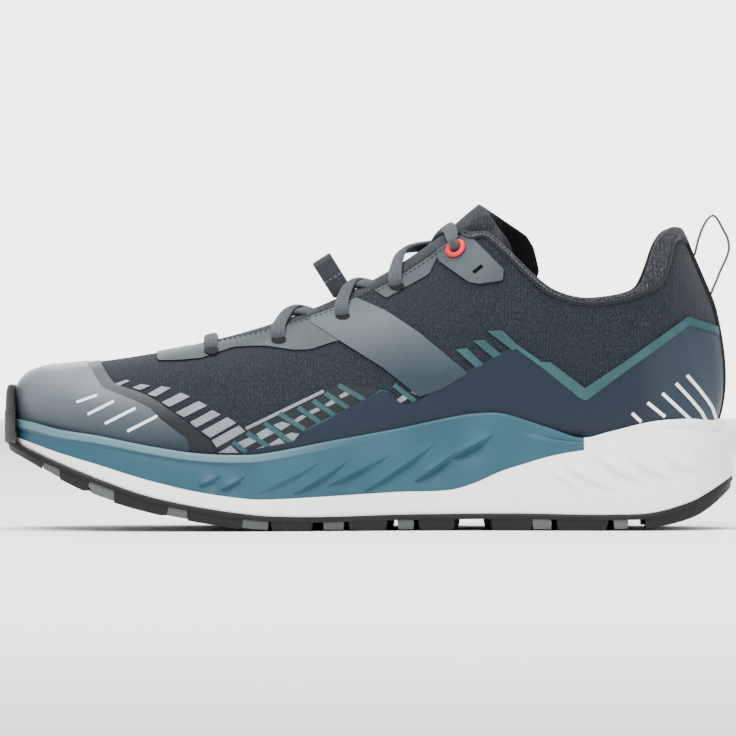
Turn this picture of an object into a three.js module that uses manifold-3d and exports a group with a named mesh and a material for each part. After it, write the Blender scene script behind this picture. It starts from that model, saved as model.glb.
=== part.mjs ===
// A low hiking and trail-running shoe for the right foot, standing empty on its sole.
// Millimetres, +Z up, toe towards -X, the inner (medial) side towards -Y.
// The origin is on the floor, under the middle of the shoe's length and width.
import * as THREE from "three";
import { mergeVertices } from "three/addons/utils/BufferGeometryUtils.js";
import Module from "manifold-3d";

const wasm = await Module();
wasm.setup();

// Driving dimensions
const shoeLength = 293; // rubber toe guard to the back of the heel
const ballWidth = 100; // the upper, across the ball
const treadWidth = 111; // the sole, across the ball
const instepHeight = 120; // the last's ridge where the lacing ends, over the floor
const collarHeight = 0.992 * instepHeight; // top of the heel collar over the floor
const sideHeight = 47; // the sole's side wall at the arch, its highest point
const heelStack = 27; // floor to the underside of the foot, at the heel
const toeSpring = 32; // underside of the toe tip over the floor

// Walls and clearances
const gap = 0.3; // between pieces that touch
const upperWall = 1.8;
const overlayWall = 1.1;
const lipWall = 3.0; // the sole's rim, measured out from the last
const insoleThickness = 4;
const padThickness = 6; // collar padding at the heel
const tongueThickness = 4.5;
const tongueSwell = 0.6; // how far the tongue stands proud between the stays
const treadBase = 1.9; // outsole between its lugs
const toeGuardThickness = 3;
const toeGuardTop = 57.5; // over the floor
const toeGuardReach = 5.2; // how far it shows back from the tip
const toeMargin = 5.2; // the last's toe, inside the shoe's length
const heelMargin = 4.6; // the last's heel, inside the shoe's length
const laceWidth = 5.4;
const laceThickness = 2.4;
const collarRoll = 3.4; // radius of the padded edge round the collar
const lastingMargin = 9; // the upper's edge turned in under the foot

// Where the last starts and ends inside the shoe's length
const lastToe = -shoeLength / 2 + toeMargin;
const lastHeel = shoeLength / 2 - heelMargin;
const lastLength = lastHeel - lastToe;
const acrossShift = 0.0175; // share of ballWidth that puts the whole shoe's middle on y = 0
const toeTipHeight = 0.415 * instepHeight;
const heelTipHeight = 0.51 * instepHeight;

// The last, toe to heel. at: share of its length. ridge: share of instepHeight. bed: share of heelStack.
// half, centre, lean: shares of ballWidth. square: the section's roundness.
// widest: share of the section's height.
const lastRows = [
  { at: 0.0, ridge: 0.535, bed: 1.38, half: 0.43, centre: -0.09, lean: 0.0, square: 2.6, widest: 0.42 },
  { at: 0.06, ridge: 0.545, bed: 1.25, half: 0.445, centre: -0.075, lean: -0.02, square: 2.55, widest: 0.38 },
  { at: 0.12, ridge: 0.56, bed: 1.06, half: 0.462, centre: -0.06, lean: -0.04, square: 2.4, widest: 0.33 },
  { at: 0.2, ridge: 0.589, bed: 0.87, half: 0.485, centre: -0.042, lean: -0.06, square: 2.2, widest: 0.28 },
  { at: 0.28, ridge: 0.627, bed: 0.74, half: 0.5, centre: -0.024, lean: -0.075, square: 2.0, widest: 0.25 },
  { at: 0.36, ridge: 0.68, bed: 0.69, half: 0.494, centre: -0.002, lean: -0.08, square: 1.88, widest: 0.23 },
  { at: 0.44, ridge: 0.752, bed: 0.71, half: 0.462, centre: 0.018, lean: -0.07, square: 1.82, widest: 0.21 },
  { at: 0.52, ridge: 0.848, bed: 0.76, half: 0.424, centre: 0.028, lean: -0.055, square: 1.8, widest: 0.2 },
  { at: 0.6, ridge: 0.973, bed: 0.82, half: 0.39, centre: 0.03, lean: -0.035, square: 1.85, widest: 0.19 },
  { at: 0.66, ridge: 1.09, bed: 0.87, half: 0.37, centre: 0.026, lean: -0.02, square: 1.92, widest: 0.19 },
  { at: 0.72, ridge: 1.17, bed: 0.92, half: 0.357, centre: 0.018, lean: 0.0, square: 2.0, widest: 0.2 },
  { at: 0.8, ridge: 1.225, bed: 0.965, half: 0.35, centre: 0.008, lean: 0.0, square: 2.1, widest: 0.21 },
  { at: 0.87, ridge: 1.2, bed: 0.99, half: 0.345, centre: 0.0, lean: 0.0, square: 2.2, widest: 0.23 },
  { at: 0.92, ridge: 1.09, bed: 1.01, half: 0.338, centre: 0.0, lean: 0.0, square: 2.2, widest: 0.26 },
  { at: 0.96, ridge: 0.885, bed: 1.05, half: 0.326, centre: 0.0, lean: 0.0, square: 2.1, widest: 0.3 },
  { at: 1.0, ridge: 0.665, bed: 1.12, half: 0.31, centre: 0.0, lean: 0.0, square: 2.0, widest: 0.35 },
];

// The sole's side lines, toe to heel. at: share of shoeLength. rim, seam, under: shares of sideHeight.
// ground: share of toeSpring. half: share of treadWidth.
const soleRows = [
  { at: 0.0, rim: 0.953, seam: 0.84, under: 0.81, ground: 1.04, half: 0.415 },
  { at: 0.038, rim: 0.923, seam: 0.757, under: 0.685, ground: 0.865, half: 0.425 },
  { at: 0.079, rim: 0.86, seam: 0.67, under: 0.575, ground: 0.655, half: 0.44 },
  { at: 0.133, rim: 0.809, seam: 0.57, under: 0.443, ground: 0.43, half: 0.46 },
  { at: 0.201, rim: 0.724, seam: 0.44, under: 0.3, ground: 0.24, half: 0.483 },
  { at: 0.269, rim: 0.66, seam: 0.34, under: 0.208, ground: 0.115, half: 0.5 },
  { at: 0.337, rim: 0.647, seam: 0.28, under: 0.145, ground: 0.02, half: 0.502 },
  { at: 0.372, rim: 0.672, seam: 0.277, under: 0.128, ground: 0.0, half: 0.495 },
  { at: 0.44, rim: 0.753, seam: 0.298, under: 0.122, ground: 0.0, half: 0.462 },
  { at: 0.542, rim: 0.87, seam: 0.335, under: 0.138, ground: 0.0, half: 0.405 },
  { at: 0.61, rim: 0.96, seam: 0.35, under: 0.143, ground: 0.0, half: 0.385 },
  { at: 0.644, rim: 0.993, seam: 0.41, under: 0.145, ground: 0.0, half: 0.382 },
  { at: 0.678, rim: 0.996, seam: 0.505, under: 0.146, ground: 0.0, half: 0.382 },
  { at: 0.712, rim: 0.938, seam: 0.573, under: 0.146, ground: 0.0, half: 0.384 },
  { at: 0.746, rim: 0.868, seam: 0.635, under: 0.143, ground: 0.0, half: 0.388 },
  { at: 0.79, rim: 0.786, seam: 0.685, under: 0.138, ground: 0.0, half: 0.393 },
  { at: 0.828, rim: 0.838, seam: 0.7, under: 0.138, ground: 0.0, half: 0.395 },
  { at: 0.883, rim: 0.92, seam: 0.68, under: 0.152, ground: 0.035, half: 0.393 },
  { at: 0.937, rim: 0.945, seam: 0.64, under: 0.243, ground: 0.15, half: 0.385 },
  { at: 0.965, rim: 0.93, seam: 0.62, under: 0.333, ground: 0.29, half: 0.378 },
  { at: 1.0, rim: 0.93, seam: 0.6, under: 0.47, ground: 0.56, half: 0.37 },
];

// Small tools

// A smooth curve through one column of a table.
function column(rows, name) {
  const slope = (i) => {
    const a = rows[Math.max(i - 1, 0)];
    const b = rows[Math.min(i + 1, rows.length - 1)];
    return (b[name] - a[name]) / (b.at - a.at);
  };
  return (at) => {
    const t = THREE.MathUtils.clamp(at, rows[0].at, rows[rows.length - 1].at);
    let i = 0;
    while (i < rows.length - 2 && rows[i + 1].at < t) i += 1;
    const [a, b] = [rows[i], rows[i + 1]];
    const w = b.at - a.at;
    const u = (t - a.at) / w;
    const [u2, u3] = [u * u, u * u * u];
    return (
      (2 * u3 - 3 * u2 + 1) * a[name] +
      (u3 - 2 * u2 + u) * w * slope(i) +
      (3 * u2 - 2 * u3) * b[name] +
      (u3 - u2) * w * slope(i + 1)
    );
  };
}

function columns(rows) {
  const names = Object.keys(rows[0]).filter((name) => name !== "at");
  return Object.fromEntries(names.map((name) => [name, column(rows, name)]));
}

// 0 at a rounded end and 1 from reach onwards.
function roundEnd(distance, reach, power) {
  if (distance >= reach) return 1;
  return (1 - (1 - Math.max(distance, 0) / reach) ** power) ** (1 / power);
}

// A closed solid through rings of as many points, closed at each end by a strip or by a tip.
function loft(rings, startTip, endTip) {
  const count = rings[0].length;
  const points = rings.flat();
  const faces = [];
  for (let i = 0; i < rings.length - 1; i += 1) {
    for (let j = 0; j < count; j += 1) {
      const k = (j + 1) % count;
      const [a, b, c, d] = [i * count + j, i * count + k, (i + 1) * count + k, (i + 1) * count + j];
      faces.push([a, b, c], [a, c, d]);
    }
  }
  const close = (first, tip, flip) => {
    const turned = (f) => (flip ? [f[0], f[2], f[1]] : f);
    if (tip) {
      points.push(tip);
      for (let j = 0; j < count; j += 1) {
        faces.push(turned([points.length - 1, first + ((j + 1) % count), first + j]));
      }
      return;
    }
    for (let j = 0; j < count / 2 - 1; j += 1) {
      const [a, b] = [first + j, first + j + 1];
      const [c, d] = [first + count - 1 - (j + 1), first + count - 1 - j];
      faces.push(turned([a, c, b]), turned([a, d, c]));
    }
  };
  close(0, startTip, false);
  close((rings.length - 1) * count, endTip, true);
  return closed(points, faces);
}

function closed(points, faces) {
  const vertProperties = new Float32Array(points.flatMap((p) => [p.x, p.y, p.z]));
  const make = (list) =>
    new wasm.Manifold(new wasm.Mesh({ numProp: 3, vertProperties, triVerts: new Uint32Array(list.flat()) }));
  const made = make(faces);
  return made.volume() > 0 ? made : make(faces.map(([a, b, c]) => [a, c, b]));
}

function solidOf(geometry) {
  geometry.deleteAttribute("normal");
  geometry.deleteAttribute("uv");
  const merged = mergeVertices(geometry, 1e-4);
  return new wasm.Manifold(
    new wasm.Mesh({
      numProp: 3,
      vertProperties: merged.attributes.position.array,
      triVerts: new Uint32Array(merged.index.array),
    }),
  );
}

// A cut without the crumbs that rounding leaves at its corners.
const largest = (solid) => solid.decompose().sort((a, b) => b.volume() - a.volume())[0];

const shapeOf = (points) => new THREE.Shape(points.map(([a, b]) => new THREE.Vector2(a, b)));

// An outline seen from the side, [x, z] points, run across the shoe from one y to another.
function acrossPrism(points, fromY = -ballWidth, toY = ballWidth) {
  const geometry = new THREE.ExtrudeGeometry(shapeOf(points), { depth: toY - fromY, bevelEnabled: false });
  return solidOf(geometry.rotateX(Math.PI / 2).translate(0, toY, 0));
}

// An outline seen from above, [x, y] points, run from one height to another.
function uprightPrism(points, fromZ, toZ) {
  const geometry = new THREE.ExtrudeGeometry(shapeOf(points), { depth: toZ - fromZ, bevelEnabled: false });
  return solidOf(geometry.translate(0, 0, fromZ));
}

const steps = (count) => Array.from({ length: count + 1 }, (_, i) => i / count);

// The last

const last = columns(lastRows);

// The last's section where its length has the share s.
function lastSection(s) {
  const fromToe = s * lastLength;
  const fromHeel = (1 - s) * lastLength;
  const x = lastToe + fromToe;
  const toeEnd = (height, reach, power) =>
    toeTipHeight + (height - toeTipHeight) * roundEnd(fromToe, reach * lastLength, power);
  const heelEnd = (height, reach, power) =>
    heelTipHeight + (height - heelTipHeight) * roundEnd(fromHeel, reach * lastLength, power);
  const top = heelEnd(toeEnd(last.ridge(s) * instepHeight, 0.065, 2.8), 0.018, 2);
  const bottom = heelEnd(toeEnd(last.bed(s) * heelStack, 0.05, 2.2), 0.056, 2);
  const plan = roundEnd(fromToe, 0.17 * lastLength, 2.2) * roundEnd(fromHeel, 0.15 * lastLength, 2.15);
  return {
    x,
    top,
    bottom,
    middle: bottom + last.widest(s) * (top - bottom),
    half: last.half(s) * ballWidth * plan,
    centre: (last.centre(s) + acrossShift) * ballWidth,
    lean: last.lean(s) * ballWidth,
    square: last.square(s),
  };
}

const footSquare = 3.2; // roundness of the section's lower corners

// A point of the last's surface. The angle runs from the outer side, 0, over the ridge to the inner one, 180.
function lastPoint(s, degrees) {
  const k = lastSection(s);
  const a = THREE.MathUtils.degToRad(degrees);
  const power = 2 / (Math.sin(a) >= 0 ? k.square : footSquare);
  const rise = Math.sin(a) >= 0 ? k.top - k.middle : k.middle - k.bottom;
  const across = Math.sign(Math.cos(a)) * Math.abs(Math.cos(a)) ** power;
  const up = Math.sign(Math.sin(a)) * Math.abs(Math.sin(a)) ** power;
  const leaning = k.lean * Math.max(up, 0) ** 2;
  return new THREE.Vector3(k.x, k.centre + leaning + k.half * across, k.middle + rise * up);
}

function lastNormal(s, degrees) {
  const [ds, da] = [0.002, 1];
  const [s0, s1] = [Math.max(s - ds, 0.0005), Math.min(s + ds, 0.9995)];
  const along = lastPoint(s1, degrees).sub(lastPoint(s0, degrees));
  const round = lastPoint(s, degrees + da).sub(lastPoint(s, degrees - da));
  return along.cross(round).normalize().negate();
}

const onLast = (s, degrees, out) => lastPoint(s, degrees).addScaledVector(lastNormal(s, degrees), out);
const shareAt = (x) => (x - lastToe) / lastLength;

// The angle at which a side-view point lies on the last, on the inner or the outer side.
function angleAt(x, z, inner) {
  const k = lastSection(shareAt(x));
  const up = THREE.MathUtils.clamp((z - k.middle) / (k.top - k.middle), 0, 1);
  const degrees = THREE.MathUtils.radToDeg(Math.asin(up ** (k.square / 2)));
  return inner ? 180 - degrees : degrees;
}

const lastStations = 18;
const lastAround = 16;

// The last grown or shrunk by out millimetres, which may change along its length.
function lastForm(out) {
  const reach = typeof out === "function" ? out : () => out;
  const shares = steps(lastStations)
    .slice(1, -1)
    .map((t) => (1 - Math.cos(Math.PI * t)) / 2);
  const rings = shares.map((s) =>
    Array.from({ length: lastAround }, (_, j) => onLast(s, (360 * j) / lastAround, reach(s))),
  );
  const toe = new THREE.Vector3(lastToe - reach(0), lastPoint(0, 0).y, toeTipHeight);
  const heel = new THREE.Vector3(lastHeel + reach(1), lastPoint(1, 0).y, heelTipHeight);
  return loft(rings, toe, heel);
}

// The layer between two depths of the last.
const layer = (inner, outer) => lastForm(outer).subtract(lastForm(inner));

// The sole's contours

const sole = columns(soleRows);
const rimAt = (x) => sole.rim(x / shoeLength + 0.5) * sideHeight;
const seamAt = (x) => sole.seam(x / shoeLength + 0.5) * sideHeight;
const underAt = (x) => sole.under(x / shoeLength + 0.5) * sideHeight;
const groundAt = (x) => Math.max(sole.ground(x / shoeLength + 0.5) * toeSpring, 0);
const middleOf = (x) => (last.centre(shareAt(x)) + acrossShift) * ballWidth;

// Shares of the length at which a contour has its points, closer where its ends turn.
const turningShares = [0.0015, 0.012, 0.988, 0.9985];
const contourShares = [...soleRows.slice(1, -1).map((row) => row.at), ...turningShares].sort((a, b) => a - b);

// One closed contour: its toe and heel ends, its half width and its height at each x.
function contour({ toe, heel, half, height }) {
  const reachToe = 0.18 * shoeLength;
  const reachHeel = 0.15 * shoeLength;
  const at = (q, sign) => {
    const x = toe + (heel - toe) * q;
    const ends = roundEnd(x - toe, reachToe, 2.25) * roundEnd(heel - x, reachHeel, 2.3);
    return new THREE.Vector3(x, middleOf(x) + sign * half(x) * ends, height(x));
  };
  return [...contourShares.toReversed().map((q) => at(q, -1)), ...contourShares.map((q) => at(q, 1))];
}

// Every second point of a contour, seen from above.
const planOf = (points) => points.filter((_, i) => i % 2 === 0).map((p) => [p.x, p.y]);

const rimHalf = (x) => {
  const k = lastSection(THREE.MathUtils.clamp(shareAt(x), 0.17, 0.85));
  const up = Math.max((rimAt(x) - k.middle) / (k.top - k.middle), 0);
  return k.half * (1 - Math.min(up, 1) ** k.square) ** (1 / k.square) + lipWall;
};
const treadHalf = (x) => sole.half(x / shoeLength + 0.5) * treadWidth;
const mixed = (share, extra) => (x) => rimHalf(x) + (treadHalf(x) - rimHalf(x)) * share + extra;

const toeFace = -shoeLength / 2 + toeGuardThickness + gap;
const heelFace = shoeLength / 2;
const toeGuardBack = -shoeLength / 2 + toeGuardReach;
const lipHeight = 3;

// The sole above the rubber, as contours from the rim down.
function soleBlock(grow = 0) {
  const rows = [
    { heel: -3.6, mix: 0.0, extra: -0.4, height: (x) => rimAt(x) + grow },
    { heel: -4.0, mix: 0.08, extra: 0.3, height: (x) => rimAt(x) - lipHeight },
    { heel: -4.4, mix: 0.12, extra: -0.7, height: (x) => rimAt(x) - lipHeight - 0.9 },
    { heel: -2.2, mix: 0.45, extra: -0.6, height: (x) => 0.45 * rimAt(x) + 0.55 * seamAt(x) },
    { heel: 0.0, mix: 0.8, extra: 0.4, height: (x) => 0.3 * seamAt(x) + 0.7 * underAt(x) },
    { heel: -0.6, mix: 1.0, extra: -0.6, height: (x) => underAt(x) - grow },
  ];
  return loft(
    rows.map((row) =>
      contour({
        toe: toeFace - grow,
        heel: heelFace + row.heel + grow,
        half: mixed(row.mix, row.extra + grow),
        height: row.height,
      }),
    ),
  );
}

// Side-view lines

const xAt = (share) => (share - 0.5) * shoeLength;
const sideLine = (rows) => rows.map(([x, z]) => [xAt(x), z * instepHeight]);

// The sole's rim from x to x, raised by a clearance.
const overRim = gap + 0.5;

function rimLine(fromX, toX) {
  const between = soleRows.map((row) => xAt(row.at)).filter((x) => x > fromX && x < toX);
  return [fromX, ...between, toX].map((x) => [x, rimAt(x) + overRim]);
}

const far = 2 * instepHeight; // beyond the shoe on any side
const above = (line) => [...line, [line.at(-1)[0], far], [line[0][0], far]];

// The sole

const frameEnd = xAt(0.79); // where the coloured frame stops, before the heel
const frameThickness = 4.5; // of the coloured frame round the foam

function frameRoom(clear) {
  const end = frameEnd + clear;
  const xs = [-shoeLength, ...soleRows.map((row) => xAt(row.at)).filter((x) => x < end), end];
  const line = xs.map((x) => [x, seamAt(x) - clear]);
  const core = contour({
    toe: toeFace + frameThickness + clear,
    heel: heelFace - frameThickness,
    half: mixed(0, -frameThickness - clear),
    height: () => 0,
  });
  return acrossPrism(above(line)).subtract(uprightPrism(planOf(core), -1, far));
}

// Slanted creases pressed into both side walls. x: share of shoeLength. z: share of sideHeight.
// long: share of shoeLength. tilt: degrees.
const frameCreases = [
  { x: 0.284, z: 0.435, long: 0.027, tilt: 25 },
  { x: 0.315, z: 0.41, long: 0.03, tilt: 29 },
  { x: 0.392, z: 0.455, long: 0.085, tilt: 26 },
  { x: 0.432, z: 0.447, long: 0.077, tilt: 31 },
  { x: 0.481, z: 0.505, long: 0.096, tilt: 26 },
  { x: 0.538, z: 0.528, long: 0.109, tilt: 33 },
  { x: 0.615, z: 0.621, long: 0.114, tilt: 31 },
];
const heelCreases = [
  { x: 0.769, z: 0.42, long: 0.049, tilt: -31 },
  { x: 0.802, z: 0.443, long: 0.066, tilt: -25 },
  { x: 0.846, z: 0.507, long: 0.077, tilt: -26 },
  { x: 0.884, z: 0.523, long: 0.054, tilt: -25 },
  { x: 0.924, z: 0.57, long: 0.045, tilt: -24 },
];
const creaseDepth = 1.2;
const creaseWidth = 2.6;

// Each crease is a slim spearhead, cut from the wall down to creaseDepth.
function creases(rows) {
  const bars = rows.map(({ x, z, long, tilt }) => {
    const half = (long * shoeLength) / 2;
    const turn = THREE.MathUtils.degToRad(tilt);
    const place = (along, up) => [
      xAt(x) + along * Math.cos(turn) - up * Math.sin(turn),
      z * sideHeight + along * Math.sin(turn) + up * Math.cos(turn),
    ];
    return acrossPrism([
      place(-half, 0),
      place(-0.3 * half, -creaseWidth / 2),
      place(half, -0.2 * creaseWidth),
      place(0.2 * half, creaseWidth / 2),
    ]);
  });
  return bars.reduce((made, bar) => made.add(bar)).subtract(soleBlock(-creaseDepth));
}

const block = soleBlock();
const footRoom = lastForm(gap);

function makeFrame() {
  return block.intersect(frameRoom(0)).subtract(footRoom).subtract(creases(frameCreases));
}

function makeMidsole() {
  return block.subtract(frameRoom(gap)).subtract(footRoom).subtract(creases(heelCreases));
}

// Lugs seen from above. x: share of shoeLength from the toe. from, to: shares of the sole's half width there,
// inner side negative. long: share of shoeLength.
// sweep: how far the inboard end lies behind, share of shoeLength.
const lugRows = [
  { x: 0.05, from: -0.92, to: -0.18, long: 0.042, sweep: -0.02 },
  { x: 0.05, from: 0.18, to: 0.92, long: 0.042, sweep: 0.02 },
  { x: 0.105, from: -1.1, to: -0.5, long: 0.044, sweep: 0.012 },
  { x: 0.105, from: 0.5, to: 1.1, long: 0.044, sweep: -0.012 },
  { x: 0.12, from: -0.3, to: 0.3, long: 0.036, sweep: 0 },
  { x: 0.178, from: -1.1, to: -0.56, long: 0.05, sweep: 0.014 },
  { x: 0.178, from: 0.56, to: 1.1, long: 0.05, sweep: -0.014 },
  { x: 0.19, from: -0.38, to: 0.38, long: 0.034, sweep: 0 },
  { x: 0.284, from: -1.1, to: -0.58, long: 0.076, sweep: 0.016 },
  { x: 0.284, from: 0.58, to: 1.1, long: 0.076, sweep: -0.016 },
  { x: 0.255, from: -0.4, to: 0.4, long: 0.034, sweep: 0 },
  { x: 0.318, from: -0.4, to: 0.4, long: 0.034, sweep: 0 },
  { x: 0.385, from: -1.1, to: -0.56, long: 0.042, sweep: 0.014 },
  { x: 0.385, from: 0.56, to: 1.1, long: 0.042, sweep: -0.014 },
  { x: 0.378, from: -0.38, to: 0.38, long: 0.034, sweep: 0 },
  { x: 0.488, from: -1.1, to: -0.4, long: 0.038, sweep: 0.014 },
  { x: 0.488, from: 0.4, to: 1.1, long: 0.038, sweep: -0.014 },
  { x: 0.44, from: -0.36, to: 0.36, long: 0.034, sweep: 0 },
  { x: 0.586, from: -1.1, to: -0.4, long: 0.042, sweep: 0.01 },
  { x: 0.586, from: 0.4, to: 1.1, long: 0.042, sweep: -0.01 },
  { x: 0.7, from: -1.1, to: -0.36, long: 0.045, sweep: -0.012 },
  { x: 0.7, from: 0.36, to: 1.1, long: 0.045, sweep: 0.012 },
  { x: 0.8, from: -1.1, to: -0.4, long: 0.05, sweep: -0.014 },
  { x: 0.8, from: 0.4, to: 1.1, long: 0.05, sweep: 0.014 },
  { x: 0.765, from: -0.3, to: 0.3, long: 0.036, sweep: 0 },
  { x: 0.83, from: -0.3, to: 0.3, long: 0.036, sweep: 0 },
];

// Lugs taper towards the ground, so each is a loft between two plan outlines.
function lug({ x, from, to, long, sweep }) {
  const cx = xAt(x);
  const half = treadHalf(cx);
  const ring = (z, shrink) => {
    const length = (long * shoeLength) / 2 - shrink;
    const [a, b] = [from * half + (from < -0.9 ? 0 : shrink), to * half - (to > 0.9 ? 0 : shrink)];
    const skew = sweep * shoeLength;
    const place = (px, y) => new THREE.Vector3(px, middleOf(cx) + y, z);
    return [
      place(cx - length, a),
      place(cx + length, a),
      place(cx + length + skew, b),
      place(cx - length + skew, b),
    ];
  };
  return loft([ring(toeSpring + 10, 0), ring(groundAt(cx) + 3, 0), ring(groundAt(cx) - 2, 1.3)]);
}

// The heel's rear edge: one horseshoe lug that rolls up behind the heel.
function heelHorseshoe() {
  const start = xAt(0.875);
  const inner = [
    [start - 1, -0.5 * treadHalf(start)],
    [xAt(0.935), -0.42 * treadHalf(start)],
    [xAt(0.95), 0],
    [xAt(0.935), 0.42 * treadHalf(start)],
    [start - 1, 0.5 * treadHalf(start)],
  ];
  const box = [
    [start, -far],
    [far, -far],
    [far, far],
    [start, far],
  ];
  return uprightPrism(box, -5, toeSpring + 10).subtract(uprightPrism(inner, -6, far));
}

function makeOutsole() {
  const sheet = (toe, drop, half, height) =>
    contour({ toe: toeFace - toe, heel: heelFace - drop, half, height });
  const base = loft([
    sheet(2.6, 0.8, mixed(1, -0.5), (x) => underAt(x) - gap),
    sheet(2.9, 0.4, mixed(1, 0), (x) => underAt(x) - gap - treadBase),
  ]);
  const lugRoom = loft([
    sheet(2.0, 1.1, mixed(1, -0.4), (x) => underAt(x) - gap - treadBase / 2),
    sheet(1.0, 1.3, mixed(1, -0.5), (x) => Math.min(groundAt(x), underAt(x) - gap - treadBase)),
  ]);
  const lugs = lugRows.map(lug).reduce((made, one) => made.add(one), heelHorseshoe());
  return largest(base.add(lugs.intersect(lugRoom)).add(makeToeGuard()));
}

// The rubber that wraps up over the tip of the toe.
function makeToeGuard() {
  const out = overlayWall + 2 * gap;
  const low = underAt(toeFace) - treadBase;
  const room = [
    [-shoeLength, low],
    [toeGuardBack + 1.2, low],
    [toeGuardBack, toeGuardTop],
    [-shoeLength, toeGuardTop],
  ];
  return lastForm(out + toeGuardThickness - 1)
    .add(soleBlock(toeGuardThickness))
    .intersect(acrossPrism(room))
    .subtract(soleBlock(gap))
    .subtract(lastForm(out));
}

// The upper

// Top edge of the collar, from the throat to the heel. x: share of shoeLength. z: share of collarHeight.
const collarRows = [
  [0.64, 0.99],
  [0.656, 0.99],
  [0.672, 0.968],
  [0.697, 0.921],
  [0.725, 0.845],
  [0.75, 0.79],
  [0.775, 0.755],
  [0.8, 0.743],
  [0.825, 0.748],
  [0.848, 0.763],
  [0.866, 0.79],
  [0.88, 0.86],
  [0.892, 0.935],
  [0.905, 0.978],
  [0.92, 0.99],
];
const collarLine = collarRows.map(([x, z]) => [xAt(x), z * collarHeight - collarRoll]);

// Padding under the collar's lining, thin by the lacing and full at the heel.
const padAt = (s) => padThickness * THREE.MathUtils.smoothstep(s, 0.64, 0.86) + 1.6;
const padMiddle = (s) => -(upperWall + gap + padAt(s)) / 2;

// Half the lacing slot's width along the shoe. half: share of ballWidth.
const throatRows = [
  { at: 0.27, half: 0.06 },
  { at: 0.31, half: 0.095 },
  { at: 0.375, half: 0.12 },
  { at: 0.5, half: 0.125 },
  { at: 0.62, half: 0.12 },
  { at: 0.7, half: 0.16 },
];
const throat = columns(throatRows);
const throatFront = xAt(throatRows[0].at);
const ridgeY = (x) => lastPoint(shareAt(x), 90).y;

// The lacing slot seen from above, wider or narrower by grow.
function throatSlot(grow = 0) {
  const xs = steps(9).map((t) => throatFront + t * (xAt(0.7) - throatFront));
  const half = (x) => throat.half(x / shoeLength + 0.5) * ballWidth + grow;
  const nose = steps(6)
    .slice(1, -1)
    .map((t) => {
      const a = Math.PI * t;
      const r = half(throatFront);
      return [throatFront - r * Math.sin(a), ridgeY(throatFront) + r * Math.cos(a)];
    });
  return uprightPrism(
    [
      ...nose,
      ...xs.map((x) => [x, ridgeY(x) - half(x)]),
      ...xs.toReversed().map((x) => [x, ridgeY(x) + half(x)]),
    ],
    0.45 * instepHeight,
    far,
  );
}

// Everything over the collar's edge, or over the padded roll's lower side.
function collarMouth(drop = collarRoll + gap) {
  const line = collarLine.map(([x, z]) => [x, z - drop]);
  const front = xAt(0.58);
  const tabTop = [xAt(0.628), collarHeight];
  const back = [far, line.at(-1)[1]];
  return acrossPrism([[front, collarHeight], tabTop, ...line, back, [far, far], [front, far]]);
}

// The padded roll round the collar, lying along the middle of the padding.
function collarTube(radius) {
  const side = (inner) =>
    collarLine.map(([x, z]) => {
      const s = shareAt(x);
      return onLast(s, angleAt(x, z, inner), padMiddle(s));
    });
  const [endX, endZ] = collarLine.at(-1);
  const back = new THREE.Vector3(endX + 2.4, middleOf(endX), endZ);
  const stops = [...side(true), back, ...side(false).toReversed()];
  const route = new THREE.CatmullRomCurve3(stops, false, "centripetal");
  const section = new THREE.Shape();
  section.absellipse(0, 0, radius, radius, 0, 2 * Math.PI);
  const made = { steps: 22, curveSegments: 3, extrudePath: route, bevelEnabled: false };
  return solidOf(new THREE.ExtrudeGeometry(section, made));
}

const rollRoom = collarTube(collarRoll + gap);

const eyelets = [
  { x: 0.2855, z: 0.603, hole: 1.9 },
  { x: 0.377, z: 0.64, hole: 1.9 },
  { x: 0.464, z: 0.717, hole: 1.9 },
  { x: 0.538, z: 0.817, hole: 1.9 },
  { x: 0.62, z: 0.93, hole: 2.5 },
];

// A place on the last given by a side-view point.
function seat({ x, z }, inner) {
  const [px, pz] = [xAt(x), z * instepHeight];
  const s = shareAt(px);
  const degrees = angleAt(px, pz, inner);
  return { s, degrees, point: lastPoint(s, degrees), normal: lastNormal(s, degrees) };
}

// A round bar through the upper at a seat.
function punch(place, radius) {
  const bar = new THREE.CylinderGeometry(radius, radius, 12, 8);
  const turn = new THREE.Quaternion().setFromUnitVectors(new THREE.Vector3(0, 1, 0), place.normal);
  bar.applyQuaternion(turn).translate(place.point.x, place.point.y, place.point.z);
  return solidOf(bar);
}

const eyeletHoles = eyelets
  .flatMap((eyelet) => [punch(seat(eyelet, true), eyelet.hole), punch(seat(eyelet, false), eyelet.hole)])
  .reduce((made, one) => made.add(one));

function makeUpper() {
  const sheet = contour({
    toe: lastToe + lastingMargin,
    heel: lastHeel - lastingMargin,
    half: (x) => lastSection(THREE.MathUtils.clamp(shareAt(x), 0.17, 0.85)).half - lastingMargin,
    height: () => 0,
  });
  return layer(-upperWall, 0)
    .subtract(throatSlot())
    .subtract(collarMouth())
    .subtract(rollRoom)
    .subtract(uprightPrism(planOf(sheet), -5, 0.42 * instepHeight))
    .subtract(eyeletHoles);
}

function makeCollar() {
  const pad = layer((s) => -upperWall - gap - padAt(s), -upperWall - gap);
  const lower = [
    [xAt(0.66), 0.83],
    [xAt(0.7), 0.68],
    [xAt(0.8), 0.56],
    [xAt(0.9), 0.56],
    [xAt(1.1), 0.62],
  ].map(([x, z]) => [x, z * collarHeight]);
  return pad
    .subtract(collarMouth(0))
    .intersect(acrossPrism(above(lower)))
    .subtract(throatSlot(-1))
    .add(collarTube(collarRoll));
}

// Overlays lie one layer out from the knit. Each has an outline seen from the side.
function overlay(points, fromY = -ballWidth, toY = ballWidth) {
  return layer(gap, gap + overlayWall).intersect(acrossPrism(points, fromY, toY));
}

const toeCapEdge = sideLine([
  [0.119, 0.6],
  [0.132, 0.548],
  [0.145, 0.497],
  [0.168, 0.458],
  [0.2, 0.424],
  [0.235, 0.37],
  [0.252, 0.315],
  [0.257, 0.2],
]);

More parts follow.
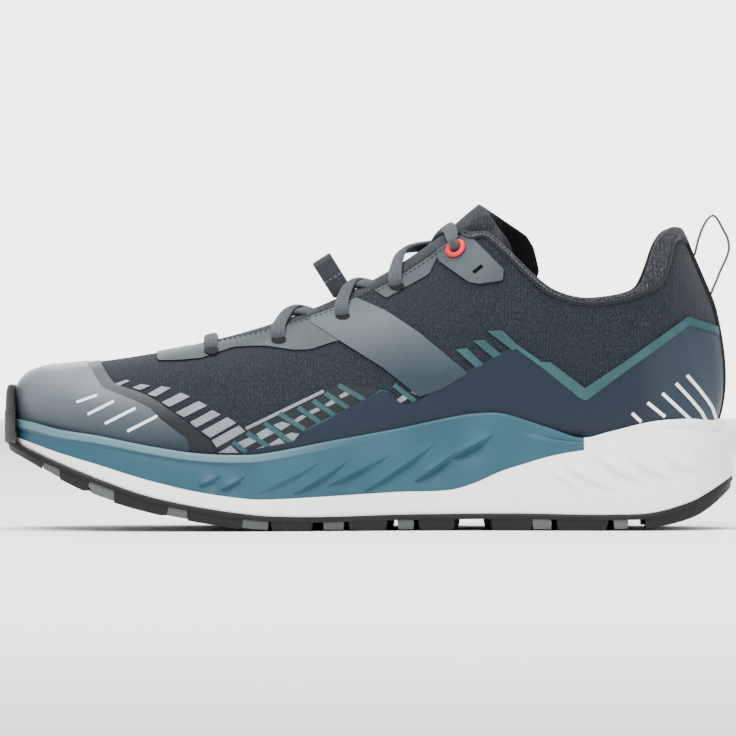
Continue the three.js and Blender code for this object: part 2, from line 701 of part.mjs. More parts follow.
function makeToeCap() {
  const start = -shoeLength / 2 - 5;
  const edge = toeCapEdge.filter(([x, z]) => z > rimAt(x) + overRim);
  const corner = edge.at(-1)[0] + 0.5;
  return overlay([...rimLine(start, corner), ...edge.toReversed(), [edge[0][0] - 6, far], [start, far]]);
}

// Where the saddle's foot meets the quarter panel, and the panel's upper outline from the arch to the heel.
const saddleFoot = [
  [0.52, 0.447],
  [0.57, 0.452],
  [0.63, 0.53],
];
const quarterTop = sideLine([
  [0.41, 0.36],
  [0.48, 0.44],
  ...saddleFoot,
  [0.675, 0.578],
  [0.697, 0.603],
  [0.664, 0.66],
  [0.681, 0.655],
  [0.732, 0.55],
  [0.745, 0.557],
  [0.793, 0.464],
  [0.935, 0.705],
  [0.982, 0.667],
  [1.05, 0.62],
]);

function makeQuarterPanel() {
  const line = rimLine(xAt(0.325), shoeLength / 2 + 6);
  const top = quarterTop.filter(([x, z]) => z > rimAt(x) + overRim);
  return overlay([[line[0][0] - 1, line[0][1] + 0.8], ...top, ...line.toReversed()]);
}

const saddleOutline = sideLine([
  [0.42, 0.9],
  [0.422, 0.698],
  [0.462, 0.631],
  [0.52, 0.537],
  [0.566, saddleFoot[1][1] + 0.008],
  [0.63, saddleFoot[2][1] + 0.008],
  [0.589, 0.606],
  [0.565, 0.656],
  [0.522, 0.728],
  [0.481, 0.77],
  [0.476, 0.95],
]);
const frontStayOutline = sideLine([
  [0.215, 0.8],
  [0.213, 0.591],
  [0.243, 0.577],
  [0.27, 0.577],
  [0.302, 0.598],
  [0.335, 0.616],
  [0.36, 0.62],
  [0.395, 0.602],
  [0.42, 0.6],
  [0.447, 0.63],
  [0.418, 0.692],
  [0.416, 0.9],
]);
const upperStayOutline = sideLine([
  [0.481, 0.95],
  [0.487, 0.772],
  [0.525, 0.738],
  [0.585, 0.81],
  [0.588, 0.86],
  [0.585, 1.1],
]);
const tabOutline = sideLine([
  [0.589, 1.2],
  [0.593, 0.885],
  [0.634, 0.822],
  [0.65, 0.815],
  [0.684, 0.827],
  [0.684, 0.872],
  [0.66, 0.94],
  [0.638, 0.99],
  [0.62, 1.2],
]);

// A stay on one side of the lacing, cut back to the slot and drilled for the lace.
function stay(outline, inner) {
  const [fromY, toY] = inner ? [-ballWidth, 0] : [0, ballWidth];
  return overlay(outline, fromY, toY)
    .subtract(throatSlot(0.4))
    .subtract(collarMouth())
    .subtract(rollRoom)
    .subtract(eyeletHoles);
}

function makeFrontStay() {
  return overlay(frontStayOutline).subtract(throatSlot(0.4)).subtract(eyeletHoles);
}

// The grommet of the top eyelet: a barrel and a flange.
const grommet = { bore: 1.7, flange: 4.2, flangeHeight: 1.2 };

function makeGrommet(inner) {
  const place = seat(eyelets.at(-1), inner);
  const top = overlayWall + gap;
  const barrel = eyelets.at(-1).hole - gap;
  const profile = [
    [grommet.bore, -upperWall],
    [barrel, -upperWall],
    [barrel, top + gap],
    [grommet.flange, top + gap],
    [grommet.flange - 0.5, top + gap + grommet.flangeHeight],
    [grommet.bore + 0.6, top + gap + grommet.flangeHeight],
    [grommet.bore, top + gap + 0.5],
    [grommet.bore, -upperWall],
  ].map(([r, h]) => new THREE.Vector2(r, h));
  const ring = new THREE.LatheGeometry(profile, 10);
  const turn = new THREE.Quaternion().setFromUnitVectors(new THREE.Vector3(0, 1, 0), place.normal);
  return solidOf(ring.applyQuaternion(turn).translate(place.point.x, place.point.y, place.point.z));
}

// The tongue

const tongueDepth = (s) =>
  upperWall + gap + 0.3 + (padAt(s) + gap) * THREE.MathUtils.smoothstep(s, 0.56, 0.65);
const tongueInner = (s) => tongueDepth(s) + tongueThickness * THREE.MathUtils.smoothstep(s, 0.2, 0.3) + 1;

// Side outlines of its two halves: the inner half tucks into the collar, the outer half stands up.
const tongueLower = [
  [0.236, 0.5],
  [0.4, 0.56],
  [0.55, 0.66],
  [0.64, 0.76],
];
const tongueInnerEdge = [
  [0.7, 0.84],
  [0.7, 0.9],
  [0.69, 0.965],
  [0.668, 1.035],
  [0.651, 1.087],
];
const tongueOuterEdge = [
  [0.725, 0.8],
  [0.735, 0.86],
  [0.727, 0.94],
  [0.717, 0.98],
  [0.651, 1.087],
];

function makeTongue() {
  const body = layer((s) => -tongueInner(s), (s) => -tongueDepth(s));
  const swell = layer((s) => -tongueInner(s), () => tongueSwell).intersect(throatSlot(-1.2));
  const split = ridgeY(xAt(0.651));
  const outline = (edge) => sideLine([...tongueLower, ...edge, [0.6, 1.35], [0.236, 1.35]]);
  const halves = acrossPrism(outline(tongueInnerEdge), -ballWidth, split + 0.5).add(
    acrossPrism(outline(tongueOuterEdge), split, ballWidth),
  );
  return body.add(swell).intersect(halves).subtract(rollRoom);
}

// The laces

// A flat cord laid over the last: its stops are [share, degrees, height over the last].
function cordOver(stops) {
  const count = 7;
  const curve = new THREE.CatmullRomCurve3(stops.map((stop) => new THREE.Vector3(...stop)));
  const rings = steps(count).map((t) => {
    const at = curve.getPoint(t);
    const normal = lastNormal(at.x, at.y);
    const centre = onLast(at.x, at.y, at.z);
    const ahead = curve.getPoint(Math.min(t + 0.02, 1));
    const behind = curve.getPoint(Math.max(t - 0.02, 0));
    const along = onLast(ahead.x, ahead.y, ahead.z).sub(onLast(behind.x, behind.y, behind.z)).normalize();
    const across = new THREE.Vector3().crossVectors(along, normal).normalize();
    const up = new THREE.Vector3().crossVectors(across, along).normalize();
    return Array.from({ length: 6 }, (_, j) => {
      const a = (Math.PI * 2 * j) / 6;
      return centre
        .clone()
        .addScaledVector(across, (Math.cos(a) * laceWidth) / 2)
        .addScaledVector(up, (Math.sin(a) * laceThickness) / 2);
    });
  });
  return loft(rings);
}

const overStay = gap + overlayWall + gap + laceThickness / 2 + 0.1; // a lace lying on a stay
const overTongue = tongueSwell + gap + laceThickness / 2; // a lace lying on the tongue

// A lace from an eyelet across the tongue. It ends over the far eyelet, or dips under the far stay's edge.
function lacePass(from, to, startInner, dips) {
  const a = seat(from, startInner);
  const b = seat(to, !startInner);
  const at = (t, height) => [a.s + (b.s - a.s) * t, a.degrees + (b.degrees - a.degrees) * t, height];
  const start = [at(0.02, overStay), at(0.25, overStay), at(0.5, overTongue)];
  return cordOver([...start, ...(dips ? [at(0.66, overTongue)] : [at(0.74, overStay), at(0.83, overStay)])]);
}

// The first lace lies straight across, over the front stay.
function laceBar() {
  const a = seat(eyelets[0], true);
  const b = seat(eyelets[0], false);
  const turned = (t) => a.degrees + (b.degrees - a.degrees) * t;
  return cordOver([0.04, 0.3, 0.5, 0.7, 0.96].map((t) => [a.s, turned(t), overStay]));
}

const laceCross = (k) => {
  const dips = k < eyelets.length - 2;
  const pass = (inner) => lacePass(eyelets[k], eyelets[k + 1], inner, dips);
  return pass(true).add(pass(false));
};

// The lace keeper on the tongue: a folded webbing loop that stands up on its edge.
const keeper = { wide: 8.5, high: 20, thick: 1.1, fold: 1.6 };

function makeKeeper() {
  const r = keeper.fold;
  const shape = new THREE.Shape();
  shape.moveTo(0, -r - keeper.thick);
  shape.lineTo(keeper.high, -r - keeper.thick);
  shape.absarc(keeper.high, 0, r + keeper.thick, -Math.PI / 2, Math.PI / 2, false);
  shape.lineTo(0, r + keeper.thick);
  shape.lineTo(0, r);
  shape.lineTo(keeper.high, r);
  shape.absarc(keeper.high, 0, r, Math.PI / 2, -Math.PI / 2, true);
  shape.lineTo(0, -r);
  shape.lineTo(0, -r - keeper.thick);
  const tab = new THREE.ExtrudeGeometry(shape, { depth: keeper.wide, bevelEnabled: false, curveSegments: 3 });
  const x = xAt(0.466);
  const base = onLast(shareAt(x), 90, tongueSwell + 2 * gap);
  tab.translate(0, 0, -keeper.wide / 2).rotateY(THREE.MathUtils.degToRad(-122));
  return solidOf(tab.translate(base.x, base.y, base.z));
}

// The heel loop and the strip that it is sewn to

const stripWidth = 8;
const stripThickness = 0.9;

function makeHeelLoop() {
  const on = overlayWall + 2 * gap;
  const y = middleOf(xAt(0.97));
  const strip = layer(on, on + stripThickness)
    .intersect(
      acrossPrism(
        [
          [xAt(0.9), rimAt(xAt(0.98)) + 1.5],
          [far, rimAt(xAt(0.98)) + 1.5],
          [far, 0.945 * instepHeight],
          [xAt(0.9), 0.945 * instepHeight],
        ],
        y - stripWidth / 2,
        y + stripWidth / 2,
      ),
    );
  const points = [
    [0.944, 0.915],
    [0.947, 0.97],
    [0.955, 1.02],
    [0.97, 1.045],
    [0.984, 1.01],
    [0.991, 0.955],
    [0.985, 0.89],
    [0.974, 0.81],
  ].map(([x, z]) => new THREE.Vector3(xAt(x) + 0.9, y, z * instepHeight));
  const section = new THREE.Shape();
  const [t, w] = [stripThickness / 2, stripWidth / 2 - 0.6];
  section.moveTo(-w, -t);
  section.lineTo(w, -t);
  section.lineTo(w, t);
  section.lineTo(-w, t);
  section.lineTo(-w, -t);
  const loop = solidOf(
    new THREE.ExtrudeGeometry(section, {
      steps: 14,
      extrudePath: new THREE.CatmullRomCurve3(points),
      bevelEnabled: false,
    }),
  );
  return strip.add(loop.subtract(lastForm(on)).subtract(rollRoom));
}

// The footbed

function makeInsole() {
  const low = (x) => last.bed(shareAt(x)) * heelStack + upperWall + gap;
  const xs = steps(30).map((t) => -shoeLength / 2 + shoeLength * t);
  const slab = acrossPrism([
    ...xs.map((x) => [x, low(x) - 8]),
    ...xs.toReversed().map((x) => [x, low(x) + insoleThickness]),
  ]);
  return lastForm(-upperWall - gap).intersect(slab);
}

// Materials and assembly

const finishes = {
  knit: { color: 0x3c4650, roughness: 0.95 },
  film: { color: 0x7c8a92, roughness: 0.55 },
  panel: { color: 0x2f4358, roughness: 0.6 },
  stay: { color: 0x6d7c7d, roughness: 0.6 },
  lining: { color: 0x4a4f57, roughness: 0.98 },
  webbing: { color: 0x2b2f35, roughness: 0.9 },
  lace: { color: 0x55595f, roughness: 0.9 },
  frame: { color: 0x4f7f8f, roughness: 0.5 },
  foam: { color: 0xe4e2df, roughness: 0.6 },
  rubber: { color: 0x35393a, roughness: 0.75 },
  grommet: { color: 0xe0485c, roughness: 0.4 },
  board: { color: 0x26282b, roughness: 0.95 },
};

const shoe = new THREE.Group();

function add(name, solid, finish) {
  const made = solid.getMesh();
  const geometry = new THREE.BufferGeometry();
  geometry.setAttribute("position", new THREE.BufferAttribute(new Float32Array(made.vertProperties), 3));
  geometry.setIndex(new THREE.BufferAttribute(new Uint32Array(made.triVerts), 1));
  geometry.computeVertexNormals();
  const material = new THREE.MeshStandardMaterial({ metalness: 0, ...finishes[finish] });
  const mesh = new THREE.Mesh(geometry, material);
  mesh.name = name;
  shoe.add(mesh);
}

add("upper", makeUpper(), "knit");
add("collar", makeCollar(), "lining");
add("tongue", makeTongue(), "knit");
add("insole", makeInsole(), "board");
add("midsole", makeMidsole(), "foam");
add("sole_frame", makeFrame(), "frame");
add("outsole", makeOutsole(), "rubber");
add("toe_cap", makeToeCap(), "film");
add("quarter_panel", makeQuarterPanel(), "panel");
add("front_stay", makeFrontStay(), "stay");
for (const [side, inner] of [
  ["inner", true],
  ["outer", false],
]) {
  add(`saddle_${side}`, stay(saddleOutline, inner), "film");
  add(`upper_stay_${side}`, stay(upperStayOutline, inner), "stay");
  add(`eyelet_tab_${side}`, stay(tabOutline, inner), "stay");
  add(`grommet_${side}`, makeGrommet(inner), "grommet");
}
add("lace_bar", laceBar(), "lace");
for (const k of [1, 2, 3]) add(`lace_cross_${k}`, laceCross(k), "lace");
add("lace_keeper", makeKeeper(), "webbing");
add("heel_loop", makeHeelLoop(), "webbing");

export default shoe;
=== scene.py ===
import math
import bpy
import bmesh
import numpy as np
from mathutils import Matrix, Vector
from mathutils.bvhtree import BVHTree


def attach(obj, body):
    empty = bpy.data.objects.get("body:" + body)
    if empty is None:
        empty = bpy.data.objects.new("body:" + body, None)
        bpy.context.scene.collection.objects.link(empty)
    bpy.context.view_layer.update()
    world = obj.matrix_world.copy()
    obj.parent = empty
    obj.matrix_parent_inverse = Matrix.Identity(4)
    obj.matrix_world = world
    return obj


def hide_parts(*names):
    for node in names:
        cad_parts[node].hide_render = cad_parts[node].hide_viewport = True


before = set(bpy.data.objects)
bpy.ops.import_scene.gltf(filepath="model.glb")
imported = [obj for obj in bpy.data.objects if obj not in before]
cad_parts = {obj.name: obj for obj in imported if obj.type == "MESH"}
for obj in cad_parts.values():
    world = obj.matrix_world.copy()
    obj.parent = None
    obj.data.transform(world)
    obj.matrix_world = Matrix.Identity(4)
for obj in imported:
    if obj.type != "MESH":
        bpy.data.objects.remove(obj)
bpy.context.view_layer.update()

shoeLength = 293.0
ballWidth = 100.0
treadWidth = 111.0
instepHeight = 120.0
collarHeight = 0.992 * instepHeight
sideHeight = 47.0
heelStack = 27.0
toeSpring = 32.0
gap = 0.3
upperWall = 1.8
lipWall = 3.0
lastToe = -shoeLength / 2 + 5.2
lastHeel = shoeLength / 2 - 4.6
lastLength = lastHeel - lastToe
acrossShift = 0.0175
toeTipHeight = 0.415 * instepHeight
heelTipHeight = 0.51 * instepHeight
far = 240.0  # beyond the shoe on any side

# The last, toe to heel: share of its length, ridge and bed heights, half width, centre, lean,
# roundness of the section and the height of its widest place, in shares of the driving sizes.
lastRows = np.array([
    [0.0, 0.535, 1.38, 0.43, -0.09, 0.0, 2.6, 0.42],
    [0.06, 0.545, 1.25, 0.445, -0.075, -0.02, 2.55, 0.38],
    [0.12, 0.56, 1.06, 0.462, -0.06, -0.04, 2.4, 0.33],
    [0.2, 0.589, 0.87, 0.485, -0.042, -0.06, 2.2, 0.28],
    [0.28, 0.627, 0.74, 0.5, -0.024, -0.075, 2.0, 0.25],
    [0.36, 0.68, 0.69, 0.494, -0.002, -0.08, 1.88, 0.23],
    [0.44, 0.752, 0.71, 0.462, 0.018, -0.07, 1.82, 0.21],
    [0.52, 0.848, 0.76, 0.424, 0.028, -0.055, 1.8, 0.2],
    [0.6, 0.973, 0.82, 0.39, 0.03, -0.035, 1.85, 0.19],
    [0.66, 1.09, 0.87, 0.37, 0.026, -0.02, 1.92, 0.19],
    [0.72, 1.17, 0.92, 0.357, 0.018, 0.0, 2.0, 0.2],
    [0.8, 1.225, 0.965, 0.35, 0.008, 0.0, 2.1, 0.21],
    [0.87, 1.2, 0.99, 0.345, 0.0, 0.0, 2.2, 0.23],
    [0.92, 1.09, 1.01, 0.338, 0.0, 0.0, 2.2, 0.26],
    [0.96, 0.885, 1.05, 0.326, 0.0, 0.0, 2.1, 0.3],
    [1.0, 0.665, 1.12, 0.31, 0.0, 0.0, 2.0, 0.35],
])

# The sole's side lines, toe to heel: share of shoeLength, rim, seam, underside, ground, half width.
soleRows = np.array([
    [0.0, 0.953, 0.84, 0.81, 1.04, 0.415],
    [0.038, 0.923, 0.757, 0.685, 0.865, 0.425],
    [0.079, 0.86, 0.67, 0.575, 0.655, 0.44],
    [0.133, 0.809, 0.57, 0.443, 0.43, 0.46],
    [0.201, 0.724, 0.44, 0.3, 0.24, 0.483],
    [0.269, 0.66, 0.34, 0.208, 0.115, 0.5],
    [0.337, 0.647, 0.28, 0.145, 0.02, 0.502],
    [0.372, 0.672, 0.277, 0.128, 0.0, 0.495],
    [0.44, 0.753, 0.298, 0.122, 0.0, 0.462],
    [0.542, 0.87, 0.335, 0.138, 0.0, 0.405],
    [0.61, 0.96, 0.35, 0.143, 0.0, 0.385],
    [0.644, 0.993, 0.41, 0.145, 0.0, 0.382],
    [0.678, 0.996, 0.505, 0.146, 0.0, 0.382],
    [0.712, 0.938, 0.573, 0.146, 0.0, 0.384],
    [0.746, 0.868, 0.635, 0.143, 0.0, 0.388],
    [0.79, 0.786, 0.685, 0.138, 0.0, 0.393],
    [0.828, 0.838, 0.7, 0.138, 0.0, 0.395],
    [0.883, 0.92, 0.68, 0.152, 0.035, 0.393],
    [0.937, 0.945, 0.64, 0.243, 0.15, 0.385],
    [0.965, 0.93, 0.62, 0.333, 0.29, 0.378],
    [1.0, 0.93, 0.6, 0.47, 0.56, 0.37],
])


# A smooth curve through one column of a table.
def column(rows, index):
    at, values = rows[:, 0], rows[:, index]
    low = np.maximum(np.arange(len(at)) - 1, 0)
    high = np.minimum(np.arange(len(at)) + 1, len(at) - 1)
    slopes = (values[high] - values[low]) / (at[high] - at[low])

    def curve(t):
        t = np.clip(t, at[0], at[-1])
        i = np.clip(np.searchsorted(at, t) - 1, 0, len(at) - 2)
        w = at[i + 1] - at[i]
        u = (t - at[i]) / w
        start = (2 * u**3 - 3 * u**2 + 1) * values[i] + (u**3 - 2 * u**2 + u) * w * slopes[i]
        end = (3 * u**2 - 2 * u**3) * values[i + 1] + (u**3 - u**2) * w * slopes[i + 1]
        return start + end

    return curve


def smoothStep(x, low, high):
    t = np.clip((x - low) / (high - low), 0, 1)
    return t * t * (3 - 2 * t)


# 0 at a rounded end and 1 from reach onwards.
def roundEnd(distance, reach, power):
    t = np.clip(distance / reach, 0, 1)
    return (1 - (1 - t) ** power) ** (1 / power)


lastCurves = [column(lastRows, i) for i in range(1, 8)]
ridge, bed, lastHalf, lastCentre, lastLean, lastSquare, lastWidest = lastCurves
rimShare, seamShare, underShare, groundShare, soleHalf = [column(soleRows, i) for i in range(1, 6)]
footSquare = 3.2


def lastSection(s):
    fromToe = s * lastLength
    fromHeel = (1 - s) * lastLength

    def ends(height, toeReach, toePower, heelReach, heelPower):
        toe = toeTipHeight + (height - toeTipHeight) * roundEnd(fromToe, toeReach * lastLength, toePower)
        return heelTipHeight + (toe - heelTipHeight) * roundEnd(fromHeel, heelReach * lastLength, heelPower)

    top = ends(ridge(s) * instepHeight, 0.065, 2.8, 0.018, 2)
    bottom = ends(bed(s) * heelStack, 0.05, 2.2, 0.056, 2)
    plan = roundEnd(fromToe, 0.17 * lastLength, 2.2) * roundEnd(fromHeel, 0.15 * lastLength, 2.15)
    return dict(
        x=lastToe + fromToe,
        top=top,
        bottom=bottom,
        middle=bottom + lastWidest(s) * (top - bottom),
        half=lastHalf(s) * ballWidth * plan,
        centre=(lastCentre(s) + acrossShift) * ballWidth,
        lean=lastLean(s) * ballWidth,
        square=lastSquare(s),
    )


# A point of the last. The angle runs from the outer side, 0, over the ridge to the inner side, 180.
def lastPoint(s, degrees):
    s, degrees = np.broadcast_arrays(np.asarray(s, float), np.asarray(degrees, float))
    k = lastSection(s)
    a = np.radians(degrees)
    above = np.sin(a) >= 0
    power = 2 / np.where(above, k["square"], footSquare)
    rise = np.where(above, k["top"] - k["middle"], k["middle"] - k["bottom"])
    across = np.sign(np.cos(a)) * np.abs(np.cos(a)) ** power
    up = np.sign(np.sin(a)) * np.abs(np.sin(a)) ** power
    y = k["centre"] + k["lean"] * np.maximum(up, 0) ** 2 + k["half"] * across
    return np.stack([k["x"], y, k["middle"] + rise * up], axis=-1)


def unit(vectors):
    return vectors / np.linalg.norm(vectors, axis=-1, keepdims=True)


def lastNormal(s, degrees):
    s0, s1 = np.maximum(s - 0.002, 0.0005), np.minimum(s + 0.002, 0.9995)
    along = lastPoint(s1, degrees) - lastPoint(s0, degrees)
    around = lastPoint(s, np.asarray(degrees) + 1) - lastPoint(s, np.asarray(degrees) - 1)
    return unit(np.cross(around, along))


def onLast(s, degrees, out):
    return lastPoint(s, degrees) + lastNormal(s, degrees) * np.asarray(out, float)[..., None]


def shareAt(x):
    return (x - lastToe) / lastLength


def angleAt(x, z, inner):
    k = lastSection(shareAt(np.asarray(x, float)))
    up = np.clip((z - k["middle"]) / (k["top"] - k["middle"]), 0, 1)
    degrees = np.degrees(np.arcsin(up ** (k["square"] / 2)))
    return 180 - degrees if inner else degrees


# Side-view outlines are drawn on a grid of 0.4 mm. The floor's middle is its point (369, 531).
def drawn(points):
    return [((x - 369) * 0.4, (531 - z) * 0.4) for x, z in points]


def xAt(share):
    return (share - 0.5) * shoeLength


# One of the sole's lines in millimetres, from places along the shoe.
def soleLine(share, size):
    return lambda x: np.maximum(share(x / shoeLength + 0.5), 0) * size


rimAt, seamAt, underAt = [soleLine(share, sideHeight) for share in (rimShare, seamShare, underShare)]
groundAt = soleLine(groundShare, toeSpring)
treadHalf = soleLine(soleHalf, treadWidth)


def middleOf(x):
    return (lastCentre(shareAt(x)) + acrossShift) * ballWidth


# Soft troughs and ridges pressed into the skin: start, end, width and height, side view.
skinFolds = [dict(start=s, end=e, width=w, height=h) for s, e, w, h in (
    ((176, 372), (212, 400), 9, -0.45),
    ((205, 366), (236, 404), 10, 0.35),
    ((236, 362), (262, 398), 9, -0.4),
    ((286, 360), (322, 392), 11, 0.3),
    ((512, 268), (560, 322), 9, -0.45),
    ((540, 312), (610, 322), 8, 0.35),
    ((600, 318), (648, 336), 9, -0.4),
    ((655, 262), (668, 320), 8, 0.3),
    ((462, 300), (520, 318), 10, 0.3),
)]


# Where places lie by a drawn stroke: the share along it, and how far above its line.
def byStroke(stroke, x, z):
    (x0, z0), (x1, z1) = drawn([stroke["start"], stroke["end"]])
    length = math.hypot(x1 - x0, z1 - z0)
    along = ((x - x0) * (x1 - x0) + (z - z0) * (z1 - z0)) / length**2
    return along, ((z - z0) * (x1 - x0) - (x - x0) * (z1 - z0)) / length


def skinRelief(points):
    total = np.zeros(points.shape[:-1])
    for fold in skinFolds:
        along, off = byStroke(fold, points[..., 0], points[..., 2])
        fade = smoothStep(along, -0.3, 0.35) * (1 - smoothStep(along, 0.65, 1.3))
        total += fold["height"] * fade * np.exp(-(off / (0.5 * fold["width"])) ** 2)
    return total


# Meshes

def newObject(name, points, faces):
    mesh = bpy.data.meshes.new(name)
    mesh.from_pydata(np.asarray(points, float) * 0.001, [], faces)
    mesh.update()
    made = bpy.data.objects.new(name, mesh)
    bpy.context.scene.collection.objects.link(made)
    return made


def points(obj):
    found = np.empty(len(obj.data.vertices) * 3)
    obj.data.vertices.foreach_get("co", found)
    return found.reshape(-1, 3) * 1000


def turnedOut(obj):
    work = bmesh.new()
    work.from_mesh(obj.data)
    bmesh.ops.recalc_face_normals(work, faces=work.faces)
    work.to_mesh(obj.data)
    work.free()
    return obj


# The faces of a closed skin through rings, whose ends are closed by a tip or a flat cap.
def loftFaces(rings, around, tips, flip=False):
    i = np.arange(rings - 1)[:, None] * around
    j = np.arange(around)[None, :]
    k = (j + 1) % around
    quads = np.stack([i + j, i + k, i + around + k, i + around + j], axis=-1).reshape(-1, 4).tolist()
    last = (rings - 1) * around
    if tips:
        first = rings * around
        quads += [[first, (n + 1) % around, n] for n in range(around)]
        quads += [[first + 1, last + n, last + (n + 1) % around] for n in range(around)]
    else:
        quads += [list(range(around))[::-1], [last + n for n in range(around)]]
    return [face[::-1] for face in quads] if flip else quads


# A skin through rings of as many points.
def loft(name, rings, tips=None):
    rings = np.asarray(rings, float)
    places = rings.reshape(-1, 3)
    if tips is not None:
        places = np.concatenate([places, np.asarray(tips, float)])
    return turnedOut(newObject(name, places, loftFaces(len(rings), rings.shape[1], tips is not None)))


def applyModifiers(obj):
    depsgraph = bpy.context.evaluated_depsgraph_get()
    made = bpy.data.meshes.new_from_object(obj.evaluated_get(depsgraph))
    old = obj.data
    obj.modifiers.clear()
    obj.data = made
    bpy.data.meshes.remove(old)
    return obj


def combine(obj, other, operation, keep=False):
    change = obj.modifiers.new("change", "BOOLEAN")
    change.operation = operation
    change.solver = "MANIFOLD"
    change.object = other
    applyModifiers(obj)
    if len(obj.data.vertices) == 0:
        raise RuntimeError(f"{obj.name}: nothing is left after {operation} with {other.name}")
    if not keep:
        bpy.data.objects.remove(other)
    return obj


def cut(obj, *others):
    for other in others:
        combine(obj, other, "DIFFERENCE")
    return obj


def joined(objs):
    first = objs[0]
    if len(objs) > 1:
        places, faces, start = [], [], 0
        for obj in objs:
            places.append(points(obj))
            faces += [[start + v for v in face.vertices] for face in obj.data.polygons]
            start += len(obj.data.vertices)
        name = first.name
        for obj in objs:
            bpy.data.objects.remove(obj)
        first = newObject(name, np.concatenate(places), faces)
    return first


def copied(obj):
    made = bpy.data.objects.new(obj.name, obj.data.copy())
    bpy.context.scene.collection.objects.link(made)
    return made


def softened(obj, voxel, times, factor=0.5):
    remesh = obj.modifiers.new("remesh", "REMESH")
    remesh.mode = "VOXEL"
    remesh.voxel_size = voxel * 0.001
    smooth = obj.modifiers.new("smooth", "SMOOTH")
    smooth.factor = factor
    smooth.iterations = times
    return applyModifiers(obj)


# Corners cut to small arcs.
def rounded(outline, radius):
    outline = np.asarray(outline, float)
    made = []
    for i, corner in enumerate(outline):
        before, after = outline[i - 1] - corner, outline[(i + 1) % len(outline)] - corner
        a = min(radius, 0.45 * np.linalg.norm(before)) / max(np.linalg.norm(before), 1e-6)
        b = min(radius, 0.45 * np.linalg.norm(after)) / max(np.linalg.norm(after), 1e-6)
        start, end = corner + before * a, corner + after * b
        for t in (0, 0.25, 0.5, 0.75, 1):
            made.append((1 - t) ** 2 * start + 2 * t * (1 - t) * corner + t**2 * end)
    return np.array(made)


# A side-view outline run across the shoe.
def acrossPrism(outline, fromY=-far, toY=far, radius=0.0):
    outline = rounded(outline, radius) if radius else np.asarray(outline, float)
    rings = [[(x, y, z) for x, z in outline] for y in (fromY, toY)]
    return loft("prism", rings)


# An outline seen from above, run upwards.
def uprightPrism(outline, fromZ, toZ):
    rings = [[(x, y, z) for x, y in outline] for z in (fromZ, toZ)]
    return loft("prism", rings)


ringCount = 300
aroundCount = 150
ringShares = (1 - np.cos(np.pi * np.arange(1, ringCount) / ringCount)) / 2


# How far each angle is round the last, at each share of its length.
def roundLengths(shares, degrees):
    dense = lastPoint(shares[:, None], degrees[None, :])
    step = np.linalg.norm(np.diff(dense, axis=1), axis=2)
    return np.concatenate([np.zeros((len(step), 1)), np.cumsum(step, axis=1)], axis=1)


def evenAngles():
    fine = np.linspace(0, 360, 721)
    length = roundLengths(ringShares, fine)

    def spread(row):
        return np.interp(np.linspace(0, row[-1], aroundCount, endpoint=False), row, fine)

    return np.array([spread(row) for row in length])


ringAngles = evenAngles()
ringPoints = lastPoint(ringShares[:, None], ringAngles)
ringNormals = lastNormal(ringShares[:, None], ringAngles)
ringRelief = skinRelief(ringPoints)


# The last's skin moved out, by one depth or by a depth for each share of its length.
def formPoints(out):
    def reach(s):
        return out(s) if callable(out) else np.full(len(s), float(out))

    rings = ringPoints + ringNormals * (reach(ringShares)[:, None] + ringRelief)[..., None]
    toeOut, heelOut = reach(np.array([0.0, 1.0]))
    tips = [
        (lastToe - toeOut, lastPoint(0.0, 0.0)[1], toeTipHeight),
        (lastHeel + heelOut, lastPoint(1.0, 0.0)[1], heelTipHeight),
    ]
    return np.concatenate([rings.reshape(-1, 3), tips])


def lastForm(out):
    return turnedOut(newObject("form", formPoints(out), loftFaces(ringCount - 1, aroundCount, True)))


# The layer between two depths of the last.
def shell(name, inner, outer):
    outside, inside = formPoints(outer), formPoints(inner)
    faces = loftFaces(ringCount - 1, aroundCount, True, flip=True)
    hollow = [[v + len(outside) for v in face[::-1]] for face in faces]
    return newObject(name, np.concatenate([outside, inside]), faces + hollow)


print("last and tools ready")

# The sole's contours

turning = np.array([0.0004, 0.0015, 0.004, 0.008, 0.013, 0.02, 0.028, 0.037])
contourShares = np.sort(np.concatenate([turning, np.linspace(0.047, 0.953, 190), 1 - turning]))


def contour(toe, heel, half, height):
    x = toe + (heel - toe) * contourShares
    ends = roundEnd(x - toe, 0.18 * shoeLength, 2.25) * roundEnd(heel - x, 0.15 * shoeLength, 2.3)
    z = height(x) + 0 * x
    inner = np.stack([x, middleOf(x) - half(x) * ends, z], axis=-1)
    outer = np.stack([x, middleOf(x) + half(x) * ends, z], axis=-1)
    return np.concatenate([inner[::-1], outer])


def rimHalf(x):
    k = lastSection(np.clip(shareAt(x), 0.17, 0.85))
    up = np.clip((rimAt(x) - k["middle"]) / (k["top"] - k["middle"]), 0, 1)
    return k["half"] * (1 - up ** k["square"]) ** (1 / k["square"]) + lipWall


def mixed(share, extra):
    return lambda x: rimHalf(x) + (treadHalf(x) - rimHalf(x)) * share + extra


toeFace = -shoeLength / 2 + 3.3
heelFace = shoeLength / 2


# A skin through sole contours, closed by caps that run straight across.
def soleLoft(name, rings):
    rings = np.asarray(rings, float)
    count, around = rings.shape[:2]
    half = around // 2
    faces = loftFaces(count, around, False)[:-2]
    for start in (0, (count - 1) * around):
        faces += [[start + half - 1 - i, start + half - 2 - i, start + half + 1 + i, start + half + i]
                  for i in range(half - 1)]
    return turnedOut(newObject(name, rings.reshape(-1, 3), faces))


